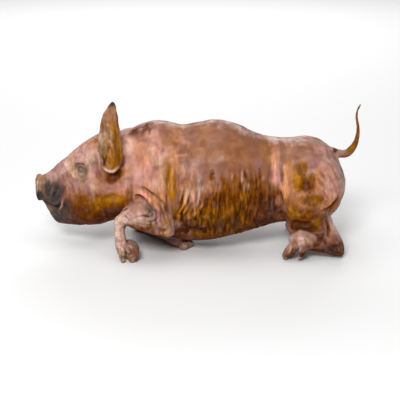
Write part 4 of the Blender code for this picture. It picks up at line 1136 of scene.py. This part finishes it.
# %% Colours of the roast skin
TAN = (0.305, 0.135, 0.084)
TAN_DARK = (0.235, 0.097, 0.058)
TONES = (
    # attribute, colour, second colour, noise between the two, fray
    ("orange", (0.320, 0.128, 0.055), (0.240, 0.088, 0.034), "clouds", 0.20),
    ("pink", (0.600, 0.300, 0.240), (0.430, 0.192, 0.148), "streaks", 0.20),
    ("rose", (0.620, 0.255, 0.235), (0.450, 0.178, 0.160), "streaks", 0.20),
    ("mauve", (0.400, 0.195, 0.178), (0.270, 0.120, 0.108), "clouds", 0.15),
    ("pale", (0.430, 0.245, 0.210), (0.300, 0.160, 0.135), "clouds", 0.10),
    ("ashen", (0.600, 0.395, 0.345), (0.350, 0.215, 0.185), "streaks", 0.20),
    ("honey", (0.560, 0.250, 0.115), (0.370, 0.150, 0.050), "streaks", 0.20),
    ("olive", (0.330, 0.205, 0.110), (0.190, 0.112, 0.060), "flecks", 0.20),
    ("brown", (0.250, 0.077, 0.006), (0.110, 0.027, 0.002), "streaks", 0.20),
    ("gold", (0.360, 0.145, 0.012), (0.190, 0.066, 0.003), "streaks", 0.20),
    ("amber", (0.520, 0.215, 0.022), (0.340, 0.125, 0.008), "streaks", 0.20),
    # dark: crust, and painted shade
    ("dark", (0.110, 0.026, 0.005), (0.045, 0.010, 0.004), "streaks", 0.20),
    # light: painted highlights
    ("light", (0.800, 0.550, 0.450), (0.620, 0.390, 0.300), "streaks", 0.15),
)
SOFTNESS = 0.50
TINTS = (
    # shift of the noise, where it starts and is full, amount, colour that is multiplied in
    (1.7, (0.45, 0.70), 0.55, (1.04, 0.98, 0.62)),
    (4.1, (0.48, 0.72), 0.60, (0.90, 0.78, 0.90)),
    (7.9, (0.48, 0.72), 0.55, (1.16, 1.18, 1.18)),
)
# painted shade colour for creases and fold valleys
CREASE_SHADE_COLOUR = (0.062, 0.013, 0.002)
CHAR_COLOURS = ((0.007, 0.007, 0.008), (0.076, 0.058, 0.052))

skin, tree, shader = new_material("roast_skin")
place = new_node(tree, "ShaderNodeTexCoord").outputs["Object"]
mottle = new_node(tree, "ShaderNodeGroup", node_tree=mottling)
tree.links.new(place, mottle.inputs["Vector"])
hanging = noise_node(tree, stretched(tree, place, (1.0, 0.5, 0.20)), 170.0, 4.0, 0.6, 0.3)
soft_flecks = widened(tree, value_mix(tree, 0.45, mottle.outputs["Flecks"], mottle.outputs["Specks"]), 0.0, 1.0)
streaks = value_mix(tree, attribute(tree, "drape"), soft_flecks, widened(tree, hanging))
still = math_node(tree, "MULTIPLY", attribute(tree, "calm"), 0.7)
streaks = value_mix(tree, still, streaks, mottle.outputs["Clouds"])
patterns = {"clouds": value_mix(tree, still, mottle.outputs["Clouds"], 0.5), "flecks": soft_flecks, "streaks": streaks}

colour = colour_mix(tree, patterns["clouds"], TAN_DARK, TAN)
for name, light, deep, pattern, fray in TONES:
    mask = frayed_tone(tree, attribute(tree, name), patterns["clouds"], fray, SOFTNESS)
    colour = colour_mix(tree, mask, colour, colour_mix(tree, patterns[pattern], deep, light))
for shift, (low, high), amount, tint in TINTS:
    moved = stretched(tree, place, (1.0, 0.8, 0.45), shift=(shift, shift, 0.0))
    tint_clouds = widened(tree, noise_node(tree, moved, 52.0, 1.0, 0.5, 0.3), low, high)
    share = math_node(tree, "MULTIPLY", tint_clouds, amount, clamp=True)
    share = math_node(tree, "MULTIPLY", share, attribute(tree, "varied"))
    colour = colour_mix(tree, share, colour, tint, blend="MULTIPLY")
# painted shade darkens creases and fold valleys; raised ridges get a painted highlight in the brightness
valley = attribute(tree, "valley")
colour = colour_mix(tree, math_node(tree, "MULTIPLY", valley, 0.85, clamp=True), colour, CREASE_SHADE_COLOUR)
ridge = math_node(tree, "MULTIPLY", valley, -0.30, clamp=True)
char = frayed_tone(tree, attribute(tree, "char"), patterns["flecks"], 0.20, SOFTNESS)
colour = colour_mix(tree, char, colour, colour_mix(tree, patterns["flecks"], *CHAR_COLOURS))
uneven = new_node(tree, "ShaderNodeHueSaturation")
uneven.inputs["Saturation"].default_value = 1.02
lively, calm = value_mix(tree, streaks, 0.74, 1.24), value_mix(tree, streaks, 0.82, 0.98)
brightness = math_node(tree, "ADD", value_mix(tree, attribute(tree, "calm"), lively, calm), ridge)
tree.links.new(brightness, uneven.inputs["Value"])
tree.links.new(colour, uneven.inputs["Color"])
tree.links.new(uneven.outputs["Color"], shader.inputs["Base Color"])
print("skin colour has", len(tree.nodes), "nodes")

# %% [markdown]
# The surface is leather: fine lines that run down the skin, and pores between them. Bare meat has no gloss of
# its own, so the plain specular is almost off. The gloss comes from a thin coat of fat, thicker in clouds, a
# little more on the char, and gone where the skin is crusted or faces down.

# %% Surface of the roast skin
pores = noise_node(tree, place, 420.0, 3.0, 0.6)
leather_lines = noise_node(tree, stretched(tree, place, (1.0, 0.8, 0.45)), 230.0, 4.0, 0.6, 0.8)
bumped(tree, shader, value_mix(tree, 0.25, leather_lines, pores), 0.7, 0.0013)
tree.links.new(value_mix(tree, patterns["flecks"], 0.32, 0.52), shader.inputs["Roughness"])
greasy = value_mix(tree, widened(tree, mottle.outputs["Clouds"], 0.1, 0.9), 0.17, 0.42)
greasy = math_node(tree, "ADD", greasy, math_node(tree, "MULTIPLY", char, 0.12), clamp=True)
greasy = math_node(tree, "MULTIPLY", greasy, attribute(tree, "basted"))
tree.links.new(greasy, shader.inputs["Coat Weight"])
shader.inputs["Coat Roughness"].default_value = 0.30
shader.inputs["Specular IOR Level"].default_value = 0.015
pig.data.materials.append(skin)
print("skin material has", len(tree.nodes), "nodes and", len(pig.data.attributes), "attributes")

# %% [markdown]
# Eyes and hooves start as balls. Each is resized, turned and moved in edit mode, so that its place is in its
# mesh and its object stays at the origin. Pieces of one kind are then joined.

# %% Balls that are shaped by hand
def shaped_ball(name, radii, way, place, segments=32, rings=16):
    """A ball with these radii, its third axis turned to `way`, at `place`. The object stays at the origin."""
    bpy.ops.object.select_all(action="DESELECT")
    bpy.ops.mesh.primitive_uv_sphere_add(segments=segments, ring_count=rings, radius=1.0, location=(0, 0, 0))
    ball = bpy.context.object
    ball.name = name
    turn = Vector(way).to_track_quat("Z", "Y").to_euler()
    bpy.ops.object.mode_set(mode="EDIT")
    bpy.ops.mesh.select_all(action="SELECT")
    bpy.ops.transform.resize(value=radii, center_override=(0, 0, 0))
    for angle, axis in zip(turn, "XYZ"):
        bpy.ops.transform.rotate(value=angle, orient_axis=axis, center_override=(0, 0, 0))
    bpy.ops.transform.translate(value=place)
    bpy.ops.object.mode_set(mode="OBJECT")
    bpy.ops.object.shade_smooth()
    return ball


def joined(name, parts):
    select_only(parts[0])
    for part in parts[1:]:
        part.select_set(True)
    bpy.ops.object.join()
    parts[0].name = name
    return parts[0]


print("the balls take three radii, a way and a place")

# %% [markdown]
# The eyes have shrunk in the oven. Each is a flattened ball, a little crumpled and squeezed narrow by its lids,
# that sits low in its socket and looks to the side. How far each point is from the middle of the eye is kept as
# an attribute, so that the eye can be cloudy in the middle and dark at its edge.

# %% Sunken eyes
EYE_PLACE = (-0.2130, 0.1680)  # X and Z
EYE_RADIUS, EYE_THICKNESS = 0.0082, 0.0036
EYE_SUNK = 0.0012
EYE_SQUEEZE = (0.74, 1.0, 1.12)  # narrower and taller than a ball
EYE_SIDEWAYS = 2.0  # how much it looks to the side, over the way of the skin

skin_tree = BVHTree.FromObject(pig, bpy.context.evaluated_depsgraph_get())
eyes = []
for side in BOTH:
    spot, way, _, _ = skin_tree.ray_cast(Vector((EYE_PLACE[0], side * 0.4, EYE_PLACE[1])), Vector((0, -side, 0)))
    way = (way + Vector((0, EYE_SIDEWAYS * side, 0))).normalized()
    eye = shaped_ball("eye", (EYE_RADIUS, EYE_RADIUS * 0.85, EYE_THICKNESS), way, spot - way * EYE_SUNK)
    ball_points, ball_normals = read(eye, "co"), read(eye, "normal")
    from_spot = ball_points - np.array(spot)
    from_axis = np.linalg.norm(np.cross(from_spot, np.array(way)), axis=1) / EYE_RADIUS
    ball_points = np.array(spot) + from_spot * EYE_SQUEEZE
    write(eye, ball_points + ball_normals * (0.0005 * noise(ball_points, 0.0035, 31))[:, None])
    rim = eye.data.attributes.new("rim", "FLOAT", "POINT")
    rim.data.foreach_set("value", np.clip(from_axis, 0.0, 1.0).astype(np.float32))
    eyes.append(eye)
    print("eye at", [round(v, 4) for v in spot], "facing", [round(v, 2) for v in way])
eyes = joined("eyes", eyes)

# %% [markdown]
# Each toe ends in a hoof: a blunt horn cap round the tip of the toe, a little longer than it is wide. The toes
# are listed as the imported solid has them, with the way that each one points.

# %% Hooves
# tip (X, Y, Z), the joint before it, radius
TOE_TIPS = (
    ((-0.1188, -0.0879, 0.0085), (-0.1153, -0.0889, 0.0210), 0.0090),
    ((-0.1198, -0.0709, 0.0085), (-0.1163, -0.0699, 0.0195), 0.0088),
    ((-0.1358, -0.0924, 0.0045), (-0.1393, -0.0904, 0.0110), 0.0042),
    ((-0.1418, -0.0684, 0.0045), (-0.1438, -0.0704, 0.0110), 0.0042),
    ((-0.0208, -0.0354, 0.0080), (-0.0358, -0.0204, 0.0095), 0.0080),
    ((-0.0118, -0.0254, 0.0080), (-0.0278, -0.0124, 0.0092), 0.0078),
)
HIND_TIPS = (
    ((0.1702, 0.0710, 0.0075), (0.1772, 0.0830, 0.0245), 0.0072),
    ((0.1812, 0.0590, 0.0075), (0.1852, 0.0670, 0.0225), 0.0072),
    ((0.1962, 0.0820, 0.0095), (0.2002, 0.0860, 0.0210), 0.0048),
    ((0.2032, 0.0540, 0.0085), (0.2052, 0.0560, 0.0180), 0.0044),
)
HOCK_X, RIGHT_FOOT_SHARE, RIGHT_FOOT_FORWARD = 0.2672, 0.74, 0.009
SHIFT_ACROSS = 0.0044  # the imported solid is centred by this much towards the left


def hind_tips(side):
    """The tips of one hind foot; the right foot is folded tighter."""
    tips = []
    for tip, before, radius in HIND_TIPS:
        places = []
        for px, py, pz in (tip, before):
            if side == RIGHT:
                px = HOCK_X + (px - HOCK_X) * RIGHT_FOOT_SHARE - RIGHT_FOOT_FORWARD
            places.append((px, side * py - SHIFT_ACROSS, pz))
        tips.append((*places, radius))
    return tips


hooves = []
for tip, before, radius in (*TOE_TIPS, *hind_tips(LEFT), *hind_tips(RIGHT)):
    way = (Vector(tip) - Vector(before)).normalized()
    hoof = shaped_ball("hoof", (radius, radius, radius * 1.35), way, Vector(tip) - way * radius * 0.25, 24, 12)
    hoof_points = read(hoof, "co")
    hoof_points += read(hoof, "normal") * (0.0004 * noise(hoof_points, 0.004, 33))[:, None]
    hoof_points[:, 2] = np.maximum(hoof_points[:, 2], 0.0002)
    write(hoof, hoof_points)
    hooves.append(hoof)
hooves = joined("hooves", hooves)
print("hooves:", len(TOE_TIPS) + 2 * len(HIND_TIPS))

# %% [markdown]
# The eye is cloudy and only a little wet. Horn is dull and streaked along its length, paler where it is thin.

# %% Eye and hoof materials
eye_skin, tree, shader = new_material("cloudy_eye")
place = new_node(tree, "ShaderNodeTexCoord").outputs["Object"]
clouds = widened(tree, noise_node(tree, place, 420.0, 3.0, 0.6))
rim_mask = frayed_tone(tree, attribute(tree, "rim"), clouds, 0.25, 0.35)
cloudy = colour_mix(tree, clouds, (0.150, 0.115, 0.085), (0.300, 0.250, 0.190))
tree.links.new(colour_mix(tree, rim_mask, cloudy, (0.070, 0.052, 0.040)), shader.inputs["Base Color"])
shader.inputs["Roughness"].default_value = 0.40
shader.inputs["Coat Weight"].default_value = 0.15
shader.inputs["Coat Roughness"].default_value = 0.25
shader.inputs["Specular IOR Level"].default_value = 0.2
eyes.data.materials.append(eye_skin)

horn, tree, shader = new_material("hoof_horn")
place = new_node(tree, "ShaderNodeTexCoord").outputs["Object"]
grain = widened(tree, noise_node(tree, stretched(tree, place, (1.0, 1.0, 0.25)), 300.0, 3.0, 0.6))
tree.links.new(colour_mix(tree, grain, (0.160, 0.090, 0.060), (0.420, 0.260, 0.190)), shader.inputs["Base Color"])
bumped(tree, shader, grain, 0.4, 0.0006)
shader.inputs["Roughness"].default_value = 0.50
shader.inputs["Specular IOR Level"].default_value = 0.25
hooves.data.materials.append(horn)
print("materials:", [m.name for m in bpy.data.materials])

# %% [markdown]
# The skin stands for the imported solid: it rides on the same body and replaces its node. Eyes and hooves ride
# with it.

# %% Put the pieces in the solid's place
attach(pig, "root")
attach(eyes, "root")
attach(hooves, "root")
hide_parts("pig")
